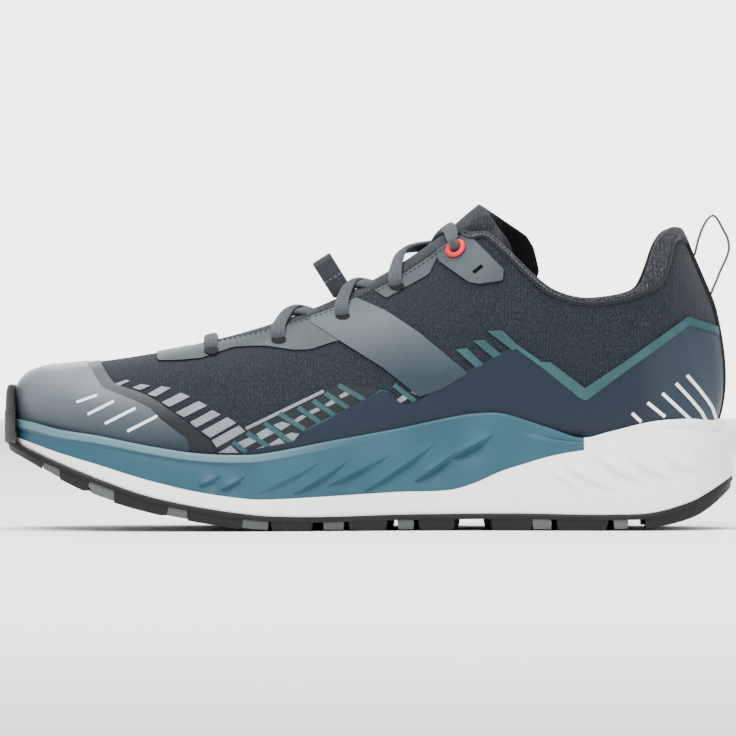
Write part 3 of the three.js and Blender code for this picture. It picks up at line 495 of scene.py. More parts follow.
# The side wall from the rim down: how far down, heel setback, mix of rim and tread, extra width,
# and the height as shares of rim, seam and underside plus millimetres.
wallRows = np.array([
    [0.0, -3.9, 0.0, -0.9, 1.0, 0.0, 0.0, 0.0],
    [0.04, -3.6, 0.0, -0.3, 1.0, 0.0, 0.0, -0.25],
    [0.08, -3.6, 0.03, 0.05, 1.0, 0.0, 0.0, -0.9],
    [0.16, -3.9, 0.07, 0.3, 1.0, 0.0, 0.0, -2.5],
    [0.2, -4.1, 0.09, 0.15, 1.0, 0.0, 0.0, -3.1],
    [0.23, -4.4, 0.11, -0.4, 1.0, 0.0, 0.0, -3.6],
    [0.27, -4.3, 0.13, -0.7, 1.0, 0.0, 0.0, -4.2],
    [0.5, -2.2, 0.45, -0.6, 0.45, 0.55, 0.0, 0.0],
    [0.75, -0.5, 0.8, 0.3, 0.0, 0.45, 0.55, 0.0],
    [0.9, 0.0, 0.95, 0.1, 0.0, 0.12, 0.88, 0.0],
    [0.97, -0.15, 1.0, -0.3, 0.0, 0.0, 1.0, 0.5],
    [1.0, -0.6, 1.0, -0.7, 0.0, 0.0, 1.0, 0.0],
])

# Blades of the coloured frame: each line is the crisp lower edge of a soft raised blade, side view.
frameBlades = [dict(start=s, end=e, depth=d, above=a, below=b) for s, e, d, a, b in (
    ((200, 485), (222, 475), 1.2, 6, 3.2),
    ((222, 489), (246, 476), 1.3, 6, 3.2),
    ((258, 493), (322, 462), 1.0, 8, 3.2),
    ((293, 494), (347, 462), 1.4, 8, 3.4),
    ((321, 488), (390, 455), 1.3, 9, 3.5),
    ((361, 493), (434, 445), 1.5, 9, 3.5),
    ((413, 482), (458, 450.5), 1.8, 9, 4),
    ((446, 459), (492, 435.5), 1.8, 9, 4.5),
)]
heelBlades = [dict(start=s, end=e, depth=d, above=a, below=b) for s, e, d, a, b in (
    ((546, 470), (585, 492.5), 1.5, 8, 3.6),
    ((563, 467), (616, 491), 1.8, 9, 3.8),
    ((592, 457.5), (651, 485), 1.9, 9, 4),
    ((628, 459.5), (672, 479.5), 1.8, 9, 3.8),
    ((660, 455.5), (699, 472), 1.6, 8, 3.6),
    ((694, 450), (720, 463), 1.3, 7, 3),
)]


# The soft swelling above each blade's edge.
def bladeRelief(x, z, blades):
    total = np.zeros_like(x)
    for blade in blades:
        along, off = byStroke(blade, x, z)
        fade = smoothStep(along, -0.02, 0.35) * (1 - smoothStep(along, 0.7, 1.02))
        high = np.exp(-np.maximum(off, 0) / blade["above"] * 2.2) * (1 - smoothStep(-off, 0.6, 2.6))
        total += 0.8 * blade["depth"] * fade * high
    return total


# The shadowed step below each blade's edge, as a wedge cut out of the side wall.
def cutBlades(block, blades):
    tree = BVHTree.FromObject(block, bpy.context.evaluated_depsgraph_get())

    def onSide(place, side):
        start = Vector((place[0], side * far, place[1])) * 0.001
        return tree.ray_cast(start, Vector((0, -side, 0)))[0].y * 1000

    for blade in blades:
        start, end = np.array(drawn([blade["start"], blade["end"]]))
        along = (end - start) / np.linalg.norm(end - start)
        below = np.array([along[1], -along[0]])
        for side in (-1, 1):
            rings = []
            for t in np.linspace(0, 1, 17):
                taper = 0.04 + 0.96 * math.sin(math.pi * t**0.85) ** 0.75
                crest = start + (end - start) * t
                deep = crest + below * blade["below"] * 0.5 * taper
                foot = crest + below * blade["below"] * 1.9 * taper
                a, b, c = onSide(crest, side), onSide(deep, side), onSide(foot, side)
                b -= side * blade["depth"] * 1.25 * taper
                ring = [(crest, a + 3 * side), (crest, a + 0.03 * side), (deep, b), (foot, c + 0.03 * side)]
                rings.append([(p[0], y, p[1]) for p, y in ring + [(foot, c + 3 * side)]])
            cut(block, loft("wedge", rings))


wallCount = 74
wallMix = [column(wallRows, i) for i in range(1, 8)]


# The lip under the rim is crisp at the toe and fades into a soft edge.
def lipFade(x):
    return 1 - 0.92 * smoothStep(x, -62, -18)


def soleRings(grow=0.0, blades=False, count=wallCount):
    rings = []
    for v in np.linspace(0, 1, count):
        heel, mix, extra, a, b, c, d = [float(f(v)) for f in wallMix]
        softEdge = [-1.3, -0.7, -0.4, -0.2, -0.25, -0.6, extra]
        plain = float(np.interp(v, [0, 0.04, 0.08, 0.16, 0.27, 0.5, 0.6], softEdge))
        half = mixed(mix, grow)
        edge = grow if v in (0.0, 1.0) else 0.0
        ring = contour(
            toeFace - grow,
            heelFace + heel + grow,
            lambda x: half(x) + plain + (extra - plain) * lipFade(x),
            lambda x: a * rimAt(x) + b * seamAt(x) + c * underAt(x) + d + (edge if v < 0.5 else -edge),
        )
        rings.append(ring)
    rings = np.array(rings)
    if blades:
        along = np.roll(rings, -1, axis=1) - np.roll(rings, 1, axis=1)
        outward = np.stack([along[..., 1], -along[..., 0]], axis=-1)
        outward /= np.maximum(np.linalg.norm(outward, axis=-1, keepdims=True), 1e-6)
        centre = np.stack([rings[..., 0], middleOf(rings[..., 0])], axis=-1)
        flip = np.sign(((rings[..., :2] - centre) * outward).sum(-1, keepdims=True))
        v = np.linspace(0, 1, count)[:, None]
        fade = smoothStep(v, 0.24, 0.34) * (1 - smoothStep(v, 0.86, 0.97))
        relief = bladeRelief(rings[..., 0], rings[..., 2], frameBlades + heelBlades) * fade
        rings[..., :2] += outward * flip * relief[..., None]
    return rings


def soleBlock(grow=0.0, blades=False, count=wallCount):
    return soleLoft("block", soleRings(grow, blades, count))


def above(line):
    return line + [(line[-1][0], far), (line[0][0], far)]


frameEnd = 213.3 * 0.4  # where the coloured frame stops, before the heel
frameThickness = 4.5


def frameRoom(clear):
    end = frameEnd + clear
    xs = [-shoeLength] + [x for x in np.linspace(-150, 150, 181) if x < end - 1] + [end]
    line = [(x, float(seamAt(x)) - clear) for x in xs]
    core = contour(
        toeFace + frameThickness + clear,
        heelFace - frameThickness,
        mixed(0, -frameThickness - clear),
        lambda x: 0,
    )
    return combine(acrossPrism(above(line)), uprightPrism(core[:, :2], -1, far), "DIFFERENCE")


print("sole tools ready")

# Shader helpers

# A colour given in steps of 255, as the shaders take it.
def tint(colour):
    def linear(c):
        return c / 255 / 12.92 if c <= 10 else ((c / 255 + 0.055) / 1.055) ** 2.4

    return (*[linear(c) for c in colour], 1.0)


def paint(name, roughness=0.7, sheen=0.0):
    material = bpy.data.materials.new(name)
    material.use_nodes = True
    tree = material.node_tree
    shader = tree.nodes["Principled BSDF"]
    shader.inputs["Roughness"].default_value = roughness
    shader.inputs["Sheen Weight"].default_value = sheen
    shader.inputs["Specular IOR Level"].default_value = 0.25
    return material, tree, shader


def node(tree, kind, inputs=None, **settings):
    made = tree.nodes.new("ShaderNode" + kind)
    for key, value in settings.items():
        setattr(made, key, value)
    for key, value in (inputs or {}).items():
        if isinstance(value, bpy.types.NodeSocket):
            tree.links.new(value, made.inputs[key])
        else:
            made.inputs[key].default_value = value
    return made


def calc(tree, operation, a, b=0.0, c=0.0, clamp=False):
    made = node(tree, "Math", {0: a, 1: b, 2: c}, operation=operation, use_clamp=clamp)
    return made.outputs[0]


def blend(tree, factor, a, b):
    made = node(tree, "Mix", {0: factor, 6: a, 7: b}, data_type="RGBA")
    return made.outputs[2]


def noise(tree, vector, scale, detail=2.0, rough=0.5):
    made = node(tree, "TexNoise", {"Vector": vector, "Scale": scale, "Detail": detail, "Roughness": rough})
    return made.outputs[0]


def ramp(tree, value, low, high):
    return node(tree, "MapRange", {0: value, 1: low, 2: high, 3: 0.0, 4: 1.0}).outputs[0]


def stretched(tree, vector, scale):
    return node(tree, "Mapping", {"Vector": vector, "Scale": scale}).outputs[0]


def bump(tree, shader, height, distance, strength=1.0):
    made = node(tree, "Bump", {"Height": height, "Distance": distance, "Strength": strength})
    tree.links.new(made.outputs[0], shader.inputs["Normal"])


# Places on the skin in millimetres: along the shoe, round it from the ridge, and depth.
def skinPlace(tree):
    return node(tree, "Attribute", attribute_name="skin").outputs["Vector"]


def objectPlace(tree):
    place = node(tree, "TexCoord").outputs["Object"]
    return stretched(tree, place, (1000, 1000, 1000))


def axes(tree, vector):
    return node(tree, "SeparateXYZ", {0: vector}).outputs[:]


# A wave of so many millimetres, from 0 to 1.
def wave(tree, place, length, shift=0.0):
    turn = calc(tree, "MULTIPLY_ADD", place, 2 * math.pi / length, shift)
    return calc(tree, "MULTIPLY_ADD", calc(tree, "SINE", turn), 0.5, 0.5)


# A knitted mesh: rows of small cells over a melange yarn, with painted shade in the gaps between the cells.
def knitPaint(name, low, middle, high, cell=(1.25, 1.05), relief=0.00022, streak=0.55, inside=None):
    material, tree, shader = paint(name, 0.92, 0.04)
    low, middle, high = tint(low), tint(middle), tint(high)
    place = skinPlace(tree)
    along, around = axes(tree, place)[:2]
    wobble = noise(tree, stretched(tree, place, (0.25, 0.25, 0.25)), 1.0, 2.0)
    u = calc(tree, "MULTIPLY_ADD", wobble, 0.9, along)
    v = calc(tree, "MULTIPLY_ADD", wobble, 0.7, around)
    row = wave(tree, u, cell[0])
    turn = calc(tree, "MULTIPLY", calc(tree, "FLOOR", calc(tree, "DIVIDE", u, cell[0])), math.pi)
    stitchTurn = calc(tree, "ADD", calc(tree, "MULTIPLY", v, 2 * math.pi / cell[1]), turn)
    stitch = calc(tree, "MULTIPLY_ADD", calc(tree, "SINE", stitchTurn), 0.5, 0.5)
    cells = calc(tree, "MULTIPLY_ADD", row, 0.45, calc(tree, "MULTIPLY", stitch, 0.55))
    melange = noise(tree, stretched(tree, place, (1.1, 0.45, 1.0)), 1.0, 3.0, 0.65)
    fleck = noise(tree, stretched(tree, place, (1.6, 0.7, 1.0)), 1.3, 1.0, 0.6)
    base = blend(tree, ramp(tree, melange, 0.35, 0.68), low, middle)
    lit = calc(tree, "MULTIPLY", ramp(tree, fleck, 0.48, 0.72), streak)
    lit = calc(tree, "MULTIPLY", lit, calc(tree, "MULTIPLY_ADD", cells, 0.7, 0.3))
    colour = blend(tree, lit, base, high)
    # The gaps between the cells are darkened towards half the low tint: painted shade in the knit's hollows.
    shade = blend(tree, ramp(tree, cells, -0.25, 0.5), tuple(0.5 * c for c in low[:3]) + (1.0,), colour)
    if inside:
        dark = node(tree, "Attribute", attribute_name="inside").outputs["Fac"]
        shade = blend(tree, dark, shade, tint(inside))
    tree.links.new(shade, shader.inputs["Base Color"])
    bump(tree, shader, calc(tree, "MULTIPLY_ADD", melange, 0.35, cells), relief)
    return material


# A smooth bonded film, a little cloudy, with the knit showing through. Some films take painted shade lower
# down.
def filmPaint(name, low, high, roughness=0.5, through=0.00003, split=None, axis=2, speckle=0.14):
    material, tree, shader = paint(name, roughness)
    place = skinPlace(tree)
    along, around = axes(tree, place)[:2]
    cloud = noise(tree, stretched(tree, place, (0.05, 0.05, 0.05)), 1.0, 3.0)
    colour = blend(tree, ramp(tree, cloud, 0.3, 0.7), tint(low), tint(high))
    dark = tuple(0.55 * c for c in tint(low)[:3]) + (1.0,)
    # split gives the film a second, darker tint below a height on axis 2, or before a place along the shoe on
    # axis 0. On the toe cap, toe band and saddle this is painted shade lower down, away from the top light;
    # on the toe cap it is partly the film's own tone too.
    if split:
        reach = axes(tree, objectPlace(tree))[axis]
        colour = blend(tree, ramp(tree, reach, split[0], split[1]), tint(split[2]), colour)
    grain = noise(tree, stretched(tree, place, (1.4, 1.8, 1.0)), 1.0, 2.0)
    fine = noise(tree, stretched(tree, place, (3.5, 3.5, 1.0)), 1.0, 1.0)
    colour = blend(tree, calc(tree, "MULTIPLY", ramp(tree, grain, 0.42, 0.66), speckle), colour, dark)
    tree.links.new(colour, shader.inputs["Base Color"])
    rough = calc(tree, "MULTIPLY_ADD", grain, 0.14, roughness - 0.07)
    tree.links.new(rough, shader.inputs["Roughness"])
    cells = calc(tree, "MULTIPLY", wave(tree, around, 1.05), wave(tree, along, 1.25))
    bump(tree, shader, calc(tree, "ADD", cells, fine), through)
    return material


# Moulded foam or rubber: a fine skin with faint specks. On the frame, a lighter tint along the lip at the
# front is a painted highlight.
def mouldedPaint(name, low, high, roughness, grainSize, relief, lipHighlightColour=None):
    material, tree, shader = paint(name, roughness)
    low, high = tint(low), tint(high)
    place = objectPlace(tree)
    cloud = noise(tree, place, 0.04, 3.0)
    grain = noise(tree, place, 1 / grainSize, 3.0, 0.6)
    colour = blend(tree, ramp(tree, cloud, 0.3, 0.7), low, high)
    colour = blend(tree, calc(tree, "MULTIPLY", ramp(tree, grain, 0.5, 0.8), 0.16), colour, low)
    # The lip's lighter tint is a painted highlight.
    if lipHighlightColour:
        lip = node(tree, "Attribute", attribute_name="lip").outputs["Fac"]
        colour = blend(tree, lip, colour, tint(lipHighlightColour))
    tree.links.new(colour, shader.inputs["Base Color"])
    rough = calc(tree, "MULTIPLY_ADD", grain, 0.2, roughness - 0.1)
    tree.links.new(rough, shader.inputs["Roughness"])
    bump(tree, shader, grain, relief)
    return material


# Woven tape: slanted yarns that cross.
def wovenPaint(name, low, high, yarn=0.8, relief=0.00015, fleck=None):
    material, tree, shader = paint(name, 0.88, 0.15)
    low, high = tint(low), tint(high)
    place = skinPlace(tree)
    along, around = axes(tree, place)[:2]
    one = wave(tree, calc(tree, "ADD", along, around), yarn)
    two = wave(tree, calc(tree, "SUBTRACT", along, around), yarn)
    over = calc(tree, "MAXIMUM", calc(tree, "MULTIPLY", one, 0.8), two)
    mottle = noise(tree, stretched(tree, place, (0.8, 1.2, 1.0)), 1.0, 2.0)
    colour = blend(tree, over, low, high)
    colour = blend(tree, calc(tree, "MULTIPLY", ramp(tree, mottle, 0.4, 0.7), 0.5), colour, low)
    if fleck:
        colour = blend(tree, calc(tree, "MULTIPLY", ramp(tree, mottle, 0.55, 0.75), 0.5), colour, tint(fleck))
    tree.links.new(colour, shader.inputs["Base Color"])
    bump(tree, shader, over, relief)
    return material


paints = dict(
    knit=knitPaint("knitMesh", (15, 19, 26), (25, 31, 40), (56, 66, 78)),
    rib=knitPaint("collarKnit", (20, 21, 27), (36, 38, 46), (92, 94, 100), (1.5, 1.2), 0.0004, 0.9,
                  (9, 9, 10)),
    tongue=knitPaint("tongueKnit", (30, 33, 37), (42, 46, 50), (74, 80, 84), (1.3, 1.1), 0.0002, 0.5,
                     (7, 7, 8)),
    # This near-black knit is the ground under the tab's slot and the painted shadow under each lace's base.
    lining=knitPaint("blackLiningAndShade", (6, 6, 7), (10, 11, 12), (22, 23, 25), (1.0, 0.8), 0.0001, 0.25),
    # The toe cap is light at the top as a painted highlight and darker below 66 mm, fully so below 34 mm:
    # partly its own tone, partly painted shade.
    toeFilm=filmPaint("toeFilm", (100, 108, 114), (112, 119, 125), 0.42, 0.00002, (34, 66, (22, 36, 45))),
    # The toe band is darker below 60 mm, fully so below 43 mm: painted shade lower down.
    bandFilm=filmPaint("bandFilm", (56, 61, 66), (66, 71, 76), 0.5, 0.00004, (43, 60, (17, 21, 26))),
    stayFilm=filmPaint("stayFilm", (44, 53, 57), (55, 65, 69), 0.5, 0.00004),
    # The saddle is darker below 84 mm, fully so below 61 mm: painted shade lower down.
    saddleFilm=filmPaint("saddleFilm", (58, 70, 74), (68, 80, 84), 0.46, 0.00003, (61, 84, (32, 45, 54))),
    navyFilm=filmPaint("navyFilm", (40, 51, 62), (46, 57, 68), 0.45, 0.00004, (108, 136, (11, 25, 39)), 0),
    print=filmPaint("lightPrint", (112, 117, 125), (128, 133, 141), 0.42, 0.00003, speckle=0.6),
    whitePrint=filmPaint("whitePrint", (220, 230, 238), (234, 241, 247), 0.42, 0.00002, speckle=0.25),
    tealPrint=filmPaint("tealPrint", (32, 62, 66), (45, 80, 82), 0.5, 0.00003, speckle=0.5),
    darkPrint=filmPaint("darkPrint", (13, 19, 22), (20, 27, 30), 0.5, 0.00003),
    # (86, 116, 124) is the frame's painted highlight along its lip.
    frame=mouldedPaint("frameFoam", (33, 67, 79), (41, 77, 90), 0.46, 0.5, 0.00004, (86, 116, 124)),
    foam=mouldedPaint("whiteFoam", (236, 235, 234), (243, 242, 241), 0.5, 0.5, 0.00005),
    rubber=mouldedPaint("blackRubber", (12, 14, 14), (20, 22, 21), 0.62, 0.7, 0.00008),
    greyRubber=mouldedPaint("greyRubber", (64, 66, 67), (84, 86, 87), 0.62, 0.7, 0.00008),
    red=mouldedPaint("redEyelet", (196, 24, 42), (212, 36, 54), 0.38, 0.8, 0.00002),
    lace=wovenPaint("laceWeave", (32, 36, 41), (68, 73, 80), 0.9, 0.00022, (104, 109, 116)),
    webbing=wovenPaint("webbing", (26, 29, 34), (50, 54, 60), 0.9, 0.0002),
    ribbon=wovenPaint("ribbon", (56, 59, 63), (82, 86, 90), 0.7, 0.00012),
    piping=wovenPaint("piping", (9, 11, 13), (20, 23, 26), 0.8, 0.00015),
    thread=wovenPaint("thread", (64, 70, 74), (104, 110, 114), 0.5, 0.00008),
    darkThread=wovenPaint("darkThread", (12, 14, 16), (24, 27, 30), 0.5, 0.00008),
    board=knitPaint("insoleCloth", (14, 15, 17), (22, 24, 27), (46, 48, 52), (1.1, 1.1), 0.0001, 0.3),
)
print("paints ready")

# Places on the skin, used by the woven and knitted paints

arcShares = np.linspace(0.004, 0.996, 120)
ridgeColumn = 180  # of the 361 angles from -90 to 270 degrees
arcs = roundLengths(arcShares, np.linspace(-90, 270, 361))
arcs = arcs - arcs[:, ridgeColumn : ridgeColumn + 1]


def skinPlaces(places):
    s = np.clip(shareAt(places[:, 0]), 0.004, 0.996)
    k = lastSection(s)
    dz = places[:, 2] - k["middle"]
    rise = np.where(dz >= 0, k["top"] - k["middle"], k["middle"] - k["bottom"])
    up = dz / rise
    half = np.maximum(k["half"], 1.0)
    across = (places[:, 1] - k["centre"] - k["lean"] * np.clip(up, 0, 1) ** 2) / half
    square = np.where(dz >= 0, k["square"], footSquare)
    angle = np.degrees(np.arctan2(
        np.sign(up) * np.abs(up) ** (square / 2), np.sign(across) * np.abs(across) ** (square / 2)
    ))
    angle = np.where(angle < -90, angle + 360, angle)
    radius = (np.abs(up) ** square + np.abs(across) ** square) ** (1 / square)
    size = np.hypot(dz, places[:, 1] - k["centre"]) / np.maximum(radius, 0.05)
    i = np.clip((s - arcShares[0]) / (arcShares[1] - arcShares[0]), 0, len(arcShares) - 1.001)
    j = np.clip(angle + 90, 0, 359.999)
    i0, j0 = i.astype(int), j.astype(int)
    fi, fj = i - i0, j - j0
    low = arcs[i0, j0] * (1 - fj) + arcs[i0, j0 + 1] * fj
    high = arcs[i0 + 1, j0] * (1 - fj) + arcs[i0 + 1, j0 + 1] * fj
    return np.stack([places[:, 0], low * (1 - fi) + high * fi, (radius - 1) * size], axis=-1)


# How far each vertex takes a finish's second tint, 0 to 1. The names are inside, for the dark inner face of
# collar and tongue, and lip, for the painted highlight along the frame's lip.
def setShare(obj, name, amounts):
    layer = obj.data.attributes.new(name, "FLOAT", "POINT")
    layer.data.foreach_set("value", amounts.astype(np.float32))


def setSkin(obj, places):
    layer = obj.data.attributes.get("skin") or obj.data.attributes.new("skin", "FLOAT_VECTOR", "POINT")
    layer.data.foreach_set("vector", np.asarray(places, np.float32).ravel())


# Gives a piece its finish, its body and the solids that it stands for.
def settle(obj, finish, nodes=(), angle=35, name=None, skin=True):
    obj.name = name or obj.name
    obj.data.materials.clear()
    obj.data.materials.append(paints[finish])
    if angle:
        obj.data.shade_smooth()
        obj.data.set_sharp_from_angle(angle=math.radians(angle))
    if skin:
        setSkin(obj, skinPlaces(points(obj)))
    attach(obj, "root")
    if nodes:
        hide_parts(*nodes)
    return obj


# Sole

def makeSole():
    block = soleBlock(0.0, True)
    cutBlades(block, frameBlades + heelBlades)
    footRoom = lastForm(gap - 0.1)
    frameSide = combine(copied(block), frameRoom(0), "INTERSECT")
    combine(frameSide, footRoom, "DIFFERENCE", keep=True)
    cut(block, frameRoom(0.25), footRoom)
    # The frame's lip is tinted lighter towards the front: painted highlight.
    places = points(frameSide)
    down = rimAt(places[:, 0]) - places[:, 2]
    lip = (1 - smoothStep(down, 2.6, 3.4)) * (1 - smoothStep(places[:, 0], -60, 5))
    setShare(frameSide, "lip", 0.85 * lip)
    settle(frameSide, "frame", ["sole_frame"], 40, "sideFrame")
    settle(block, "foam", ["midsole"], 40, "midsoleFoam")


makeSole()
print("sole block done")

# The outsole: thin sheet, lugs, grey lug parts and the toe guard.
# Lugs, toe to heel: share of shoeLength, from and to across, long, sweep. Those off the middle are mirrored.
lugPlaces = [
    (0.045, 0.18, 0.92, 0.042, 0.02), (0.098, 0.5, 1.1, 0.044, -0.012), (0.12, -0.3, 0.3, 0.036, 0),
    (0.19, 0.56, 1.1, 0.076, -0.014), (0.19, -0.38, 0.38, 0.034, 0), (0.289, 0.58, 1.1, 0.076, -0.016),
    (0.255, -0.4, 0.4, 0.034, 0), (0.318, -0.4, 0.4, 0.034, 0), (0.392, 0.56, 1.1, 0.054, -0.014),
    (0.378, -0.38, 0.38, 0.034, 0), (0.496, 0.4, 1.1, 0.05, -0.014), (0.44, -0.36, 0.36, 0.034, 0),
    (0.59, 0.4, 1.1, 0.048, -0.01), (0.696, 0.36, 1.1, 0.055, 0.012), (0.792, 0.4, 1.1, 0.068, 0.014),
    (0.765, -0.3, 0.3, 0.036, 0), (0.83, -0.3, 0.3, 0.036, 0),
]
# Softer grey lug parts beside the dark ones: share of shoeLength and long.
greyPlaces = [(0.07, 0.024), (0.142, 0.036), (0.24, 0.03), (0.346, 0.036), (0.452, 0.028), (0.55, 0.022),
              (0.735, 0.026), (0.842, 0.02)]


def bothSides(rows):
    made = []
    for x, low, high, long, sweep in rows:
        if low > 0:
            made.append((x, -high, -low, long, -sweep))
        made.append((x, low, high, long, sweep))
    return made


lugRows = bothSides(lugPlaces)
greyRows = bothSides([(x, 0.6, 1.1, long, 0.0) for x, long in greyPlaces])


def lug(row, lift=0.0, edge=1.3, lean=0.0):
    x, low, high, long, sweep = row
    cx = xAt(x)
    half = float(treadHalf(cx))
    floor = float(groundAt(cx))

    def ring(z, shrink, lean=0.0):
        cx = xAt(x) + lean
        length = long * shoeLength / 2 - shrink
        a = low * half + (0 if low < -0.9 else shrink)
        b = high * half - (0 if high > 0.9 else shrink)
        skew = sweep * shoeLength
        y = float(middleOf(cx))
        return [(cx - length, y + a, z), (cx + length, y + a, z),
                (cx + length + skew, y + b, z), (cx - length + skew, y + b, z)]

    rings = [ring(toeSpring + 10, 0, -lean), ring(floor + 7, 0, -lean)]
    return loft("lug", rings + [ring(floor + 3 + lift, 0), ring(floor - 2 + lift, edge)])


def soleSheet(toe, drop, half, height):
    return contour(toeFace - toe, heelFace - drop, half, height)


def makeOutsole():
    base = soleLoft("outsole", [
        soleSheet(2.6, 0.8, mixed(1, -0.5), lambda x: underAt(x) - 0.1),
        soleSheet(2.8, 0.4, mixed(1, 0.0), lambda x: underAt(x) - 0.8),
        soleSheet(2.9, 0.4, mixed(1, 0.0), lambda x: underAt(x) - gap - 1.9),
    ])

    def room(side, low):
        def floor(rise, clear):
            return lambda x: np.minimum(groundAt(x) + rise, underAt(x) - clear) + low

        return soleLoft("room", [
            soleSheet(2.0, 1.1, mixed(1, side), lambda x: underAt(x) - gap - 0.9),
            soleSheet(1.2, 1.2, mixed(1, side), floor(0.9, 2.6)),
            soleSheet(1.0, 1.3, mixed(1, side - 0.5), floor(0, 3.2)),
        ])

    start = xAt(0.875)
    wide = float(treadHalf(start))
    inner = [(start - 1, -0.5 * wide), (xAt(0.935), -0.42 * wide), (xAt(0.95), 0.0),
             (xAt(0.935), 0.42 * wide), (start - 1, 0.5 * wide)]
    box = [(start, -far), (far, -far), (far, far), (start, far)]
    horseshoe = combine(uprightPrism(box, -5, toeSpring + 10), uprightPrism(inner, -6, far), "DIFFERENCE")
    grey = combine(joined([lug(row, 0.7, 0.4, 2.6) for row in greyRows]), room(-0.5, 0.6), "INTERSECT")
    lugs = horseshoe
    for row in lugRows:
        combine(lugs, lug(row), "UNION")
    combine(lugs, room(-0.4, 0.0), "INTERSECT")
    combine(base, lugs, "UNION")
    settle(base, "rubber", ["outsole"], 35, "outsoleRubber")
    settle(grey, "greyRubber", ["outsole"], 35, "greyLugs")


makeOutsole()


def makeToeGuard():
    low, top = float(underAt(toeFace)) - 1.9, 58.0
    front = -shoeLength / 2
    room = [(-shoeLength, low), (front + 6.6, low), (front + 6.0, top - 18), (front + 5.4, top - 6),
            (front + 5.0, top), (-shoeLength, top + 1)]
    guard = combine(lastForm(4.3), soleBlock(2.8, False, 24), "UNION")
    combine(guard, acrossPrism(room, radius=1.2), "INTERSECT")
    cut(guard, soleBlock(0.1, False, 24), lastForm(0.8))
    softened(guard, 0.6, 9)
    settle(guard, "rubber", ["outsole"], 35, "toeGuard")


makeToeGuard()
print("outsole done")

# The upper

# The collar's top edge and the seam below its padded roll, side view.
collarTop = [
    (463, 232), (471, 235), (486, 234.5), (495, 241), (506, 251), (518, 263), (529, 274), (541, 284.5),
    (550, 291), (560, 295.5), (571, 299), (585, 301), (600, 300.5), (615, 298.5), (628, 295.5),
    (638, 290.5), (644, 280), (650, 264), (655, 248.5), (662, 236.5), (669.5, 231), (677.5, 229.5),
    (684.5, 232), (690, 237.5), (693.5, 245), (695, 252),
]
collarSeam = [
    (462, 238), (471, 241), (485, 239), (494, 245.5), (505, 255.5), (517, 267.5), (528, 278.5), (540, 289),
    (549, 295.5), (560, 300), (572, 304), (586, 306), (600, 305.5), (615, 303.5), (630, 300), (642, 295.5),
    (654, 290), (661, 284), (665, 275), (668.5, 264), (670.6, 254), (673, 246), (677, 241.5), (682, 240),
    (687, 242.5), (693, 247.5), (698, 250),
]


# A smooth line through side-view points, moved up and forwards by lift.
def smoothLine(places, lift=0.0, count=150):
    line = np.array(drawn(places))
    t = np.arange(len(line))
    fine = np.linspace(0, len(line) - 1, count)
    line = np.stack([column(np.stack([t, line[:, i]], 1), 1)(fine) for i in (0, 1)], axis=-1)
    along = unit(np.gradient(line, axis=0))
    return line + np.stack([-along[:, 1], along[:, 0]], axis=-1) * lift


# The room above a line of the collar, from the throat's back end to behind the heel.
def mouth(places, lift=0.0):
    start = xAt(0.58)
    line = [tuple(p) for p in smoothLine(places, lift)]
    front = [(start, line[0][1] + 1), (line[0][0] - 1, line[0][1] + 0.5)]
    return acrossPrism(front + line + [(far, line[-1][1]), (far, far), (start, far)])


# Half the throat's width along the shoe.
throatRows = np.array([[0.27, 6.0], [0.31, 9.5], [0.375, 12.0], [0.5, 12.5], [0.62, 12.0], [0.7, 16.0]])
throatHalf = column(throatRows, 1)
throatFront, throatBack = xAt(throatRows[0, 0]), xAt(throatRows[-1, 0])


def ridgeY(x):
    return lastPoint(shareAt(x), 90.0)[..., 1]


def throatSlot(grow=0.0):
    xs = np.linspace(throatFront, throatBack, 40)
    half = throatHalf(xs / shoeLength + 0.5) + grow
    turn = np.linspace(0, np.pi, 15)[1:-1]
    r = float(half[0])
    nose = [(throatFront - r * math.sin(a), float(ridgeY(throatFront)) + r * math.cos(a)) for a in turn]
    outline = nose + list(zip(xs, ridgeY(xs) - half)) + list(zip(xs, ridgeY(xs) + half))[::-1]
    return uprightPrism([(float(a), float(b)) for a, b in outline], 0.45 * instepHeight, far)


# Eyelets: share of shoeLength, share of instepHeight, radius.
eyelets = [(0.2855, 0.603, 1.9), (0.377, 0.64, 1.9), (0.464, 0.717, 1.9), (0.538, 0.817, 1.9),
           (0.62, 0.93, 2.5)]


def seat(k, inner):
    x, z = xAt(eyelets[k][0]), eyelets[k][1] * instepHeight
    s = float(shareAt(x))
    degrees = float(angleAt(x, z, inner))
    return s, degrees, lastPoint(s, degrees), lastNormal(s, degrees)


# A round bar along a direction.
def bar(centre, direction, radius, length, count=28):
    direction = Vector(direction).normalized()
    side = direction.orthogonal().normalized()
    other = direction.cross(side)
    rings = []
    for end in (-0.5, 0.5):
        middle = Vector(centre) + direction * length * end
        turns = [2 * math.pi * n / count for n in range(count)]
        rings.append([tuple(middle + side * radius * math.cos(a) + other * radius * math.sin(a))
                      for a in turns])
    return loft("bar", rings)


def punches(grow=0.0):
    made = []
    for k, (_, _, hole) in enumerate(eyelets):
        for inner in (True, False):
            _, _, place, normal = seat(k, inner)
            made.append(bar(place, normal, hole + grow, 14))
    return joined(made)


def makeUpper():
    turnedIn = 9  # how far the upper's lower edge runs in under the foot
    skin = shell("upperKnit", -upperWall, 0.0)
    cut(skin, throatSlot(), mouth(collarSeam))
    sheet = contour(
        lastToe + turnedIn,
        lastHeel - turnedIn,
        lambda x: lastSection(np.clip(shareAt(x), 0.17, 0.85))["half"] - turnedIn,
        lambda x: 0,
    )
    cut(skin, uprightPrism(sheet[:, :2], -5, 0.42 * instepHeight), punches())
    settle(skin, "knit", ["upper"], 45)


makeUpper()
print("upper done")


